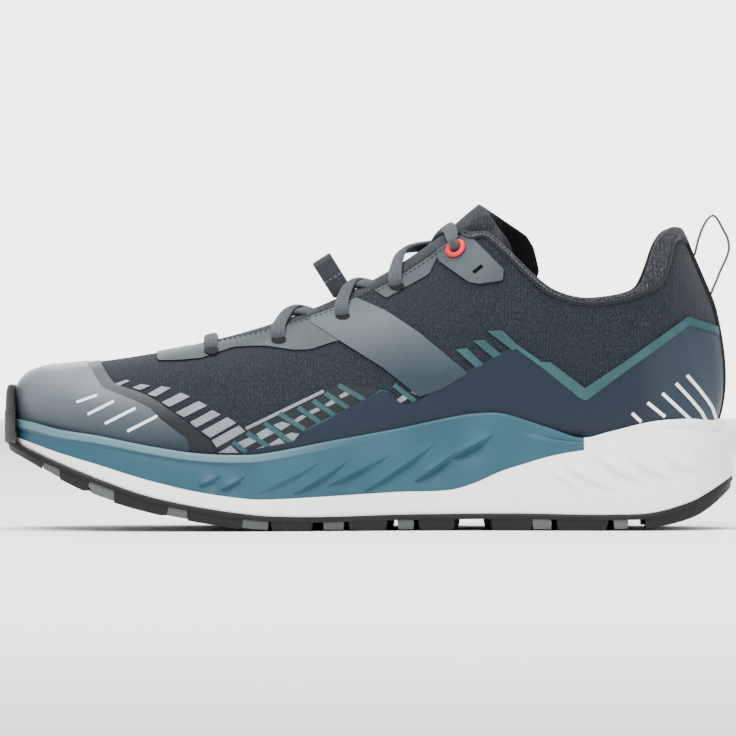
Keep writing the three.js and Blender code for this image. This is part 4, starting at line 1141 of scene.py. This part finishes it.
# An overlay: the layer between two depths inside side-view outlines, on one side or both.
def overlay(name, outlines, low, high, side=0, radius=0.0):
    reach = {0: (-far, far), -1: (-far, 0), 1: (0, far)}[side]
    cutters = joined([acrossPrism(outline, *reach, radius=radius) for outline in outlines])
    return combine(shell(name, low, high), cutters, "INTERSECT")


def rimLine(fromX, toX, lift=-1.2):
    xs = np.linspace(fromX, toX, 60)
    return [(float(x), float(rimAt(x)) + lift) for x in xs]


# A straight printed bar between two side-view points.
def dash(start, end, width):
    (x0, z0), (x1, z1) = drawn([start, end])
    length = math.hypot(x1 - x0, z1 - z0)
    nx, nz = -(z1 - z0) / length * width * 0.2, (x1 - x0) / length * width * 0.2
    return [(x0 - nx, z0 - nz), (x1 - nx, z1 - nz), (x1 + nx, z1 + nz), (x0 + nx, z0 + nz)]


filmHeight = 0.65


def makeToe():
    start = -shoeLength / 2 - 5
    capEdge = drawn([(84, 350), (87, 362), (89, 366.6), (94, 372), (98, 379), (104.6, 388), (117, 393.5),
                     (136.5, 401), (152, 408.7), (162, 419), (175, 429), (187.6, 438), (190.7, 446),
                     (191, 460)])
    cap = rimLine(start, capEdge[-1][0], -3) + capEdge[-2::-1] + [(capEdge[0][0] - 2, far), (start, far)]
    settle(overlay("toeCap", [cap], -0.2, 1.0), "toeFilm", ["toe_cap"])
    bandEdge = drawn([(96, 350), (99.5, 362), (103, 366.6), (111, 378), (117, 385), (136.5, 391),
                      (149, 396), (162, 403.6), (170, 410), (181, 417.6), (194, 426.5), (204, 435.5),
                      (213, 443), (217, 456)])
    band = rimLine(drawn([(150, 0)])[0][0], bandEdge[-1][0], -3) + bandEdge[-2::-1]
    band += [(bandEdge[0][0] - 2, far), (capEdge[0][0] - 3, far)]
    band += [(x - 1.2, z) for x, z in capEdge[1:-2]]
    settle(overlay("toeBand", [band], -0.25, 0.5), "bandFilm")
    marks = [dash((78.5, 402.9), (99.3, 395.7), 2.7), dash((90, 414.8), (116.1, 401.7), 2.9),
             dash((107.2, 424), (137.8, 408.4), 2.9), dash((129.5, 431.6), (159.2, 416.3), 2.9)]
    settle(overlay("toeDashes", marks, 0.8, 1.2, radius=0.35), "whitePrint")


makeToe()
print("toe done")


printShapes = [
    [(116, 385), (128, 380.6), (131.4, 382), (121, 386.4)],
    [(134, 388.3), (142.9, 385), (151.8, 386.4), (141.6, 390.8)],
    [(149.3, 394.6), (163.3, 387), (172.2, 388.9), (156.9, 397.2)],
    [(163.3, 402.9), (182.4, 393.4), (191.4, 397.2), (171, 407.4)],
    [(177.3, 413.1), (199.7, 401.7), (208.6, 406.1), (185.6, 417.6)],
    [(191.4, 422.7), (213.7, 410.6), (222, 415), (197.8, 427.8)],
    [(202.9, 431.6), (228.4, 417.6), (237.3, 423.3), (211.8, 438)],
    [(213.1, 440.6), (239.8, 425.9), (246.2, 431.6), (218.2, 447.6)],
    [(219.4, 453), (232.2, 445.7), (239.8, 453)],
    [(238.4, 443), (251.8, 437), (257.8, 441.6), (245.1, 448.3)],
    [(257.1, 434.3), (267.9, 428.3), (274.6, 433.6), (261.8, 440.3)],
    [(273.9, 425.6), (282.6, 422.2), (291.3, 424.9), (281.9, 430.9)],
    [(248, 453), (263.8, 446.3), (269.2, 450.4), (264, 453)],
    [(269.2, 445), (279.9, 438.3), (287.9, 445), (275.9, 449.7)],
    [(285.9, 435.6), (292, 432.9), (300, 434.3), (293.3, 442.3)],
    [(294, 420.9), (302.7, 415.5), (306.7, 417.5), (298, 422.9)],
    [(309.4, 412.2), (317.4, 408.2), (320.8, 410.8), (312.7, 414.9)],
    [(324.8, 405.5), (332.1, 400.8), (336.2, 403.5), (328.1, 407.5)],
    [(338.8, 396.8), (345.5, 392.8), (349.5, 395.4), (341.5, 399.5)],
    [(396.4, 400.8), (403.1, 396.1), (408.5, 398.8), (400.4, 404.2)],
    [(410.5, 393.4), (415.2, 390.1), (419.9, 392.1), (415.2, 396.1)],
]
tealBars = [
    ((234.4, 442.3), (247.4, 452.5)), ((247.8, 432.9), (274.2, 450.4)), ((265.2, 423.6), (293, 443.7)),
    ((279.9, 414.2), (305.4, 430.3)), ((298.7, 408.2), (319.7, 422.9)), ((313.4, 401.5), (335.8, 416.9)),
    ((325.4, 394.1), (349.2, 409.5)), ((338.8, 386.1), (365.3, 401.5)), ((393.7, 386.1), (414.8, 402.3)),
]


def makePrints():
    light = [drawn(shape) for shape in printShapes]
    light.append(dash((247, 429), (324, 392), 3.2))
    settle(overlay("lightPrints", light, -0.15, 0.32, radius=0.2), "print")
    bars = [dash(start, end, 4.7) for start, end in tealBars]
    border = [(305.4, 431.6), (318.7, 424.2), (345.5, 411.5), (372.3, 396.8), (381, 391.4), (388, 393.4)]
    bars += [dash(start, end, 1.6) for start, end in zip(border[:-1], border[1:])]
    settle(overlay("tealBars", bars, -0.15, 0.4), "tealPrint")
    under = drawn([(219, 447.6), (246, 431.5), (325, 395), (338, 384), (345, 385), (380, 390.6),
                   (307, 431.5), (295, 445), (262, 456), (222, 456)])
    settle(overlay("gridGround", [under], -0.2, 0.2), "darkPrint")


makePrints()


# Light curved stripes that run down to the heel's rim, side view.
heelStripes = [
    [(631, 414.3), (640, 423)],
    [(646.4, 403.8), (664, 418)],
    [(661.2, 394.5), (690, 421)],
    [(675, 384.6), (690.2, 400.7), (700.9, 413.2), (707, 424)],
    [(686.2, 376.6), (698.2, 390), (708, 402.5), (712.8, 410), (717, 422)],
]


def makeQuarter():
    top = drawn([(240, 456), (255, 449.5), (295, 441.6), (306, 431.3), (332, 418.4), (364, 400.6),
                 (382, 391.5), (387, 393), (396, 401), (404, 406), (419, 401), (441, 388), (464, 372.5),
                 (480, 366), (500, 354), (514, 349), (527, 357)])
    heelLine = drawn([(539, 367), (549, 365), (584, 392), (688, 320), (722, 331), (745, 338)])
    panel = top + heelLine + rimLine(top[0][0] + 2, shoeLength / 2 + 6, -3)[::-1]
    settle(overlay("quarterFilm", [panel], -0.2, filmHeight, radius=0.8), "navyFilm",
           ["quarter_panel"])
    line = drawn([(486.5, 332.4), (501.5, 331.6), (516.6, 346), (541.5, 363.6), (549.4, 363.3),
                  (583.9, 389.4), (620, 365.4), (688, 318), (722, 329), (748, 336.5), (748, 344),
                  (722, 336.5), (689, 327), (620, 376), (585.5, 401.6), (580, 400), (541, 368.6),
                  (514.8, 349.6), (512.4, 352.2)])
    settle(overlay("tealLine", [line], 0.35, 0.95, radius=0.6), "tealPrint")
    marks = [drawn([(455.4, 351), (466.4, 349.4), (483.3, 365.7), (475.4, 369)]),
             drawn([(472.4, 342), (483.9, 341.3), (500.3, 355.4), (493, 359.4)])]
    settle(overlay("tealMarks", marks, -0.1, 0.8, radius=0.4), "tealPrint")
    stripes = []
    for stripe in heelStripes:
        stripes += [dash(start, end, 3.4) for start, end in zip(stripe[:-1], stripe[1:])]
    for number, one in enumerate(stripes):
        piece = overlay(f"heelStripe{number}", [one], 0.4, 1.0, radius=0.25)
        settle(piece, "whitePrint")


makeQuarter()
print("overlays done")


def stay(name, outline, side, low, high, finish, nodes, radius=1.0, slotLine=None):
    piece = overlay(name, [outline], low, high, side, radius)
    if slotLine:
        cut(piece, acrossPrism(slotLine, radius=0.6))
    cut(piece, throatSlot(0.4), mouth(collarSeam), punches(0.15))
    return settle(piece, finish, nodes)


def makeStays():
    saddle = drawn([(312, 305), (310.5, 323), (340, 342), (383, 369), (397, 380), (418.6, 398), (440, 391),
                    (467, 375), (465, 372), (436, 348), (418.6, 333.6), (386, 312), (356, 299), (350, 270)])
    front = drawn([(155, 330), (158, 361.5), (180, 361), (202, 359), (234, 348), (256, 347), (267, 347),
                   (294, 351), (311, 350.5), (333, 343), (350, 340), (330, 300), (310, 260)])
    upper = drawn([(352, 250), (352, 296), (366.8, 287), (386.4, 299.5), (429, 275.5), (435.5, 262),
                   (445, 246), (440, 200)])
    tab = drawn([(432, 200), (438, 262), (468.6, 283.6), (479, 285.4), (502.5, 281.8), (503.4, 271),
                 (472, 239), (463, 233.6), (463, 200)])
    for side, word in ((-1, "inner"), (1, "outer")):
        stay("saddle_" + word, saddle, side, -0.2, 0.95, "saddleFilm", ["saddle_" + word])
        stay("upperStay_" + word, upper, side, -0.2, 0.6, "stayFilm", ["upper_stay_" + word])
        stay("eyeletTab_" + word, tab, side, -0.2, 1.1, "stayFilm", ["eyelet_tab_" + word], 0.9,
             dash((473, 274.4), (482.2, 267.2), 3.8))
    patch = overlay("tabSlotGround", [dash((471, 276), (484.2, 265.6), 7)], -0.1, 0.2)
    settle(patch, "lining")
    piece = overlay("frontStay", [front], -0.2, 0.7, 0, 1.5)
    cut(piece, throatSlot(0.4), punches(0.15))
    settle(piece, "stayFilm", ["front_stay"])


makeStays()


# Painted shadow: a dark oval sheet on the stays under the base of each lace, where it comes up through its
# eyelet.
def makeLaceBaseShadows():
    reach, rise, drop = 3.0, 1.6, 0.5
    turns = np.linspace(0, 2 * np.pi, 24, endpoint=False)
    rings = []
    for x, z, _ in eyelets[:4]:
        x, z = xAt(x), z * instepHeight - drop
        rings.append([(x + reach * math.cos(a), z + rise * math.sin(a)) for a in turns])
    # Each dark oval is painted shadow under a lace's base.
    settle(overlay("laceBaseShadows", rings, 0.2, 1.12), "lining")


makeLaceBaseShadows()
print("stays done")


# Collar and tongue

# How thick the padding is, from the throat back to the heel.
def padAt(s):
    return 1.6 + 6 * smoothStep(s, 0.64, 0.86)


def makeCollar():
    pad = shell("collarPad", lambda s: -upperWall - gap - padAt(s), -upperWall - 0.05)
    lower = [(xAt(0.62), 0.9), (xAt(0.66), 0.83), (xAt(0.7), 0.68), (xAt(0.8), 0.56), (xAt(0.9), 0.56),
             (xAt(1.1), 0.62)]
    combine(pad, acrossPrism(above([(x, z * collarHeight) for x, z in lower])), "INTERSECT")
    edge = shell("edge", lambda s: -upperWall - gap - padAt(s),
                 lambda s: 0.9 + 1.3 * smoothStep(s, 0.92, 0.97))
    combine(edge, mouth(collarSeam, 0.2), "INTERSECT")
    combine(pad, edge, "UNION")
    cut(pad, mouth(collarTop, 0.7), throatSlot(-1))
    softened(pad, 0.8, 11)
    settle(pad, "rib", ["collar"], 0)
    setShare(pad, "inside", smoothStep(-skinPlaces(points(pad))[:, 2], 3.2, 4.4))
    pad.data.shade_smooth()


makeCollar()
print("collar done")

tonguePadding = 4.5
# Side outlines of the tongue's inner and outer halves.
tongueLower = [(0.236, 0.5), (0.4, 0.56), (0.55, 0.66), (0.64, 0.76)]
tongueInner = [(0.7, 0.84), (0.7, 0.9), (0.69, 0.965), (0.668, 1.035), (0.651, 1.087)]
tongueOuter = [(0.725, 0.8), (0.735, 0.86), (0.727, 0.94), (0.717, 0.98), (0.651, 1.087)]


def tongueDepth(s):
    return upperWall + gap + 0.3 + (padAt(s) + gap) * smoothStep(s, 0.56, 0.65)


def tongueBack(s):
    return tongueDepth(s) + tonguePadding * smoothStep(s, 0.2, 0.3) + 1


def makeTongue():
    body = shell("tongue", lambda s: -tongueBack(s), lambda s: -tongueDepth(s))
    swell = combine(shell("swell", lambda s: -tongueBack(s), 0.5), throatSlot(-1.0), "INTERSECT")
    combine(body, swell, "UNION")
    split = float(ridgeY(xAt(0.651)))

    def half(edge, low, high):
        outline = [(xAt(x), z * instepHeight) for x, z in tongueLower + edge + [(0.6, 1.35), (0.236, 1.35)]]
        return acrossPrism(outline, low, high)

    halves = combine(half(tongueInner, -far, split + 0.5), half(tongueOuter, split, far), "UNION")
    combine(body, halves, "INTERSECT")
    softened(body, 0.85, 5)
    settle(body, "tongue", ["tongue"], 0, "tonguePad")
    places = points(body)
    depth = -skinPlaces(places)[:, 2] - tongueDepth(shareAt(places[:, 0]))
    setShare(body, "inside", smoothStep(depth, 1.8, 2.6))
    body.data.shade_smooth()


makeTongue()
print("tongue done")


# How far each place of a route is along it.
def lengthsAlong(places):
    return np.concatenate([[0], np.cumsum(np.linalg.norm(np.diff(places, axis=0), axis=1))])


# A flat band along a route: its middle, which way is up, width and thickness.
def band(name, middles, ups, width, thickness, count=20, square=2.6, closedEnds=0.5, narrow=0):
    middles, ups = np.asarray(middles, float), np.asarray(ups, float)
    along = unit(np.gradient(middles, axis=0))
    across = unit(np.cross(along, ups))
    ups = np.cross(across, along)
    turns = 2 * np.pi * np.arange(count) / count
    u = np.sign(np.cos(turns)) * np.abs(np.cos(turns)) ** (2 / square) * width / 2
    v = np.sign(np.sin(turns)) * np.abs(np.sin(turns)) ** (2 / square) * thickness / 2
    length = lengthsAlong(middles)
    room = np.minimum(length, length[-1] - length)
    size = np.sqrt(np.clip(1 - (1 - np.clip(room / (thickness * closedEnds), 0, 1)) ** 2, 0.04, 1))
    wide = 0.6 + 0.4 * size
    if narrow:
        taper = smoothStep(length, length[-1] * (1 - narrow), length[-1] * (1 - 0.3 * narrow))
        wide = wide * (1 - 0.42 * taper)
    rings = middles[:, None] + across[:, None] * u[None, :, None] * wide[:, None, None]
    rings = rings + ups[:, None] * v[None, :, None] * size[:, None, None]
    made = loft(name, rings)
    skin = np.stack([np.repeat(length, count), np.tile(u, len(length)), np.tile(v, len(length))], axis=-1)
    setSkin(made, skin)
    return made


# A smooth route through stops, with as many samples.
def route(stops, count):
    stops = np.asarray(stops, float)
    t = np.concatenate([[0], np.cumsum(np.maximum(np.linalg.norm(np.diff(stops, axis=0), axis=1), 1e-4))])
    fine = np.linspace(0, t[-1], count)
    curves = [column(np.stack([t, stops[:, i]], 1), 1) for i in range(stops.shape[1])]
    return np.stack([curve(fine) for curve in curves], axis=-1)


# A row of stitches along a line of places with their normals.
def stitchRow(name, places, normals, finish, pitch=2.1, long=1.5, thick=0.5):
    places, normals = np.asarray(places, float), np.asarray(normals, float)
    length = lengthsAlong(places)
    middles = np.arange(pitch / 2, length[-1], pitch)

    def between(at, values):
        return np.array([np.interp(at, length, values[:, i]) for i in range(3)])

    found, faces = [], []
    turns = 2 * np.pi * np.arange(6) / 6
    for number, middle in enumerate(middles):
        ends = [between(middle + d, places) for d in (-0.3, 0.3)]
        up = between(middle, normals)
        along = unit(ends[1] - ends[0])
        across = unit(np.cross(along, up))
        up = np.cross(across, along)
        for off, size, lift in ((-0.5, 0.4, -0.2), (-0.25, 1, 0), (0.25, 1, 0), (0.5, 0.4, -0.2)):
            centre = (ends[0] + ends[1]) / 2 + along * off * long + up * lift
            for a in turns:
                found.append(centre + (across * math.cos(a) + up * 0.75 * math.sin(a)) * size * thick / 2)
        faces += [[v + 24 * number for v in face] for face in loftFaces(4, 6, False)]
    row = turnedOut(newObject(name, found, faces))
    return settle(row, finish, [], 0)


# A line on the skin from side-view places.
def sideLine(line, inner, out):
    s, degrees = shareAt(line[:, 0]), angleAt(line[:, 0], line[:, 1], inner)
    return onLast(s, degrees, out), lastNormal(s, degrees)


def makeCollarPiping():
    line = smoothLine(collarSeam, 0.2)
    line = line[lastSection(shareAt(line[:, 0]))["top"] > line[:, 1] + 0.6]
    (inner, innerUp), (outer, outerUp) = sideLine(line, True, 0.5), sideLine(line, False, 0.5)
    places = np.concatenate([inner, outer[::-1]])
    ups = np.concatenate([innerUp, outerUp[::-1]])
    cord = band("collarPiping", places, ups, 1.5, 1.3, 14, 2)
    settle(cord, "piping", [], 60, skin=False)
    front = len(line) * 2 // 5
    for side in (True, False):
        spots, normals = sideLine(smoothLine(collarSeam, 0.9)[: front], side, 0.85)
        stitchRow("pipingStitches", spots, normals, "thread", 1.7, 1.0, 0.42)


makeCollarPiping()


# The angle of a place given by its height across the shoe.
def angleAcross(x, y):
    fine = np.linspace(150, 30, 241)
    return float(np.interp(y, lastPoint(shareAt(x), fine)[:, 1], fine))


def makeEyestayStitches():
    for side in (-1, 1):
        xs = np.linspace(throatFront + 1, xAt(0.635), 70)
        half = throatHalf(xs / shoeLength + 0.5) + 1.5
        degrees = np.array([angleAcross(x, float(ridgeY(x)) + side * h) for x, h in zip(xs, half)])
        s = shareAt(xs)
        out = np.interp(xs, [xAt(0.42), xAt(0.43), xAt(0.47), xAt(0.48), xAt(0.585), xAt(0.595)],
                        [0.8, 1.05, 1.05, 0.7, 0.7, 1.2])
        stitchRow("eyestayStitches", onLast(s, degrees, out), lastNormal(s, degrees), "darkThread")


makeEyestayStitches()
print("stitches done")

laceWidth = 5.6
laceThickness = 2.3


# A lace over the skin. Its stops are share, degrees and height over the last.
def laceOver(name, stops, count=60, width=laceWidth, thickness=laceThickness, narrow=0):
    scaled = np.asarray(stops, float) * (lastLength, 0.6, 1.0)
    found = route(scaled, count) / (lastLength, 0.6, 1.0)
    middles = onLast(found[:, 0], found[:, 1], found[:, 2])
    ups = lastNormal(found[:, 0], found[:, 1])
    return band(name, middles, ups, width, thickness, narrow=narrow)


# The lace from one eyelet to the next one across: lead is how early it runs along the shoe,
# over how high it passes the other lace.
def lacePass(name, fromEyelet, toEyelet, startInner, dips, lead=1.0, over=1.6):
    a, b = seat(fromEyelet, startInner), seat(toEyelet, not startInner)

    def at(t, height):
        run = math.copysign(abs(t) ** (1 / lead), t)
        return (a[0] + (b[0] - a[0]) * run, a[1] + (b[1] - a[1]) * t, height)

    overStay = 2.3
    stops = [at(-0.03, -2.0), at(-0.02, 0.2), at(0.02, 1.9), at(0.1, overStay), at(0.25, overStay),
             at(0.5, over)]
    if dips:
        stops += [at(0.66, 1.4), at(0.74, -0.4)]
    elif over > 2:
        stops += [at(0.72, over), at(0.87, over), at(0.96, 3.7), at(0.99, 2.2), at(1.0, -1.5)]
    else:
        stops += [at(0.72, 1.9), at(0.88, 2.7), at(0.96, 3.7), at(0.99, 2.2), at(1.0, -1.5)]
    return laceOver(name, stops, narrow=0 if dips else 0.16)


def makeLaces():
    a, b = seat(0, True), seat(0, False)
    turn = [a[1] + (b[1] - a[1]) * t for t in (-0.04, -0.02, 0.04, 0.2, 0.5, 0.8, 0.96, 1.02, 1.04)]
    bump = [-2.0, 0.3, 2.0, 2.2, 2.3, 2.2, 2.0, 0.3, -2.0]
    first = laceOver("laceBar", [(a[0], t, h) for t, h in zip(turn, bump)])
    settle(first, "lace", ["lace_bar"], 60, skin=False)
    for k in (1, 2, 3):
        dips = k < 3
        leads = (0.5, 0.5) if dips else (5.0, 0.42)
        under = lacePass("laceUnder", k, k + 1, False, dips, leads[0], 1.7)
        over = lacePass("laceOver", k, k + 1, True, dips, leads[1], 3.7 if dips else 4.2)
        settle(under, "lace", [f"lace_cross_{k}"], 60, f"laceOuter{k}", skin=False)
        settle(over, "lace", [f"lace_cross_{k}"], 60, f"laceInner{k}", skin=False)


makeLaces()
print("laces done")


def makeGrommets():
    for inner, word in ((True, "inner"), (False, "outer")):
        s, degrees, place, normal = seat(4, inner)
        normal = Vector(normal)
        side = normal.orthogonal().normalized()
        other = normal.cross(side)
        profile = [(1.7, -1.8), (2.2, -1.8), (2.25, 0.9), (3.9, 1.0), (4.3, 1.3), (4.35, 1.75),
                   (4.05, 2.25), (3.4, 2.5), (2.7, 2.4), (2.1, 1.95), (1.75, 1.3)]
        rings = []
        for n in range(48):
            a = 2 * math.pi * n / 48
            out = side * math.cos(a) + other * math.sin(a)
            rings.append([tuple(Vector(place) + out * r + normal * h) for r, h in profile])
        rings = np.array(rings)
        count, around = rings.shape[:2]
        faces = []
        for i in range(count):
            for j in range(around):
                k, m = (i + 1) % count, (j + 1) % around
                faces.append([i * around + j, k * around + j, k * around + m, i * around + m])
        ring = turnedOut(newObject("grommet_" + word + "Ring", rings.reshape(-1, 3), faces))
        settle(ring, "red", ["grommet_" + word], 50)


makeGrommets()


def makeKeeper():
    wide, high, thick, fold = 8.3, 14.2, 1.1, 1.7
    x = xAt(0.466)
    base = onLast(shareAt(x), 90.0, 0.9)
    reach = fold + thick / 2
    legs = np.linspace(0, high - 0.5, 18)
    turns = np.linspace(-math.pi / 2, math.pi / 2, 14)
    middles = [(h, -reach) for h in legs]
    middles += [(high + reach * math.cos(a), reach * math.sin(a)) for a in turns]
    middles += [(h, reach) for h in legs[::-1]]
    turn = math.radians(-122)
    forward = np.array([math.cos(turn), 0, -math.sin(turn)])
    width = np.array([math.sin(turn), 0, math.cos(turn)])
    spots = np.array([forward * h + np.array([0, 1, 0]) * f for h, f in middles]) + base
    along = np.gradient(spots, axis=0)
    tape = band("laceKeeper", spots, np.cross(width, along), wide, thick, square=5, closedEnds=0.2)
    settle(tape, "webbing", ["lace_keeper"], 60, skin=False)
    seam, seamHalf, stitchOut = 7.6, 4, 0.62
    for side in (-1, 1):
        out = np.array([0, side * (reach + stitchOut), 0])
        places = [base + forward * seam + width * w + out for w in (-seamHalf, seamHalf)]
        stitchRow("keeperStitches", places, [(0, side, 0)] * 2, "thread")


makeKeeper()


def makeHeelLoop():
    y = float(middleOf(xAt(0.97)))
    stops = [(696, 257), (697.5, 250), (700, 240), (705, 227), (710.5, 219), (715, 217), (719, 221),
             (724, 230), (729, 240), (730.4, 250), (728, 259), (722, 272), (718, 282), (714.5, 290),
             (711.5, 298)]
    path = route([(x, y, z) for x, z in drawn(stops)], 90)
    ups = np.tile(np.array([0.0, 1.0, 0.0]), (len(path), 1))
    along = unit(np.gradient(path, axis=0))
    loop = band("heelLoop", path, np.cross(along, ups), 7.0, 0.9, square=5, closedEnds=0.2)
    settle(loop, "ribbon", ["heel_loop"], 60, skin=False)
    start, low, high, halfWide = xAt(0.9), 44, 114.8, 3.6
    room = acrossPrism([(start, low), (far, low), (far, high), (start, high)], y - halfWide, y + halfWide)
    strip = combine(shell("heelStrip", 0.0, 1.5), room, "INTERSECT")
    settle(strip, "piping", ["heel_loop"])


makeHeelLoop()


def makeInsole():
    thick, below = 4, 8
    xs = np.linspace(-150, 150, 90)
    low = bed(shareAt(xs)) * heelStack + upperWall + gap
    slab = acrossPrism(list(zip(xs, low - below)) + list(zip(xs, low + thick))[::-1])
    board = combine(lastForm(-upperWall - gap), slab, "INTERSECT")
    settle(board, "board", ["insole"], 40, "insoleCloth")


makeInsole()
print("small parts done")

# Floor, light and camera

def areaLight(name, place, aim, size, power, colour=(1, 1, 1)):
    light = bpy.data.lights.new(name, "AREA")
    light.shape = "RECTANGLE"
    light.size, light.size_y = size
    light.energy = power
    light.color = colour
    lamp = bpy.data.objects.new(name, light)
    lamp.location = place
    lamp.rotation_euler = (Vector(aim) - Vector(place)).to_track_quat("-Z", "Y").to_euler()
    bpy.context.scene.collection.objects.link(lamp)


def makeStage():
    floor = newObject("floor", [(-3000, -3000, 0), (3000, -3000, 0), (3000, 3400, 0),
                                (-3000, 3400, 0)], [[0, 1, 2, 3]])
    material, tree, shader = paint("paleFloor", 0.9)
    mottle = noise(tree, objectPlace(tree), 0.01, 2.0)
    tree.links.new(blend(tree, mottle, tint((240, 240, 240)), tint((246, 246, 246))),
                   shader.inputs["Base Color"])
    floor.data.materials.append(material)
    areaLight("key", (-0.5, -1.1, 1.6), (0, 0, 0.05), (1.2, 0.9), 60)
    areaLight("top", (0.1, 0.1, 1.9), (0, 0, 0.05), (1.6, 1.2), 54)
    areaLight("fill", (1.1, -1.3, 0.6), (0, 0, 0.06), (1.0, 0.9), 11)
    areaLight("back", (0.3, 1.5, 0.9), (0, 0, 0.06), (1.6, 0.9), 12)
    wall = newObject("wall", [(-1500, 3200, -1), (1500, 3200, -1), (1500, 3200, 1500),
                              (-1500, 3200, 1500)], [[0, 1, 2, 3]])
    glow = bpy.data.materials.new("paleWall")
    glow.use_nodes = True
    lit = glow.node_tree.nodes["Principled BSDF"].inputs
    lit["Emission Color"].default_value = (1, 1, 1, 1)
    lit["Emission Strength"].default_value = 3.0
    wall.data.materials.append(glow)
    world = bpy.data.worlds.new("studio")
    world.use_nodes = True
    sky = world.node_tree.nodes["Background"].inputs
    sky["Color"].default_value = (1, 1, 1, 1)
    sky["Strength"].default_value = 0.6
    bpy.context.scene.world = world


makeStage()


def makeCamera():
    distance = 4.0
    rise = math.radians(0.5)
    aim = Vector((-0.0004, 0.0, 0.0644))
    halfSeen, nearer = 0.1472, 0.015  # half the picture's width, taken that much in front of the middle
    camera = bpy.data.cameras.new("camera")
    camera.sensor_fit = "HORIZONTAL"
    camera.angle = 2 * math.atan(halfSeen / (distance - nearer))
    holder = bpy.data.objects.new("camera", camera)
    holder.location = aim + Vector((0, -distance * math.cos(rise), distance * math.sin(rise)))
    holder.rotation_euler = (aim - holder.location).to_track_quat("-Z", "Y").to_euler()
    bpy.context.scene.collection.objects.link(holder)
    bpy.context.scene.camera = holder


makeCamera()
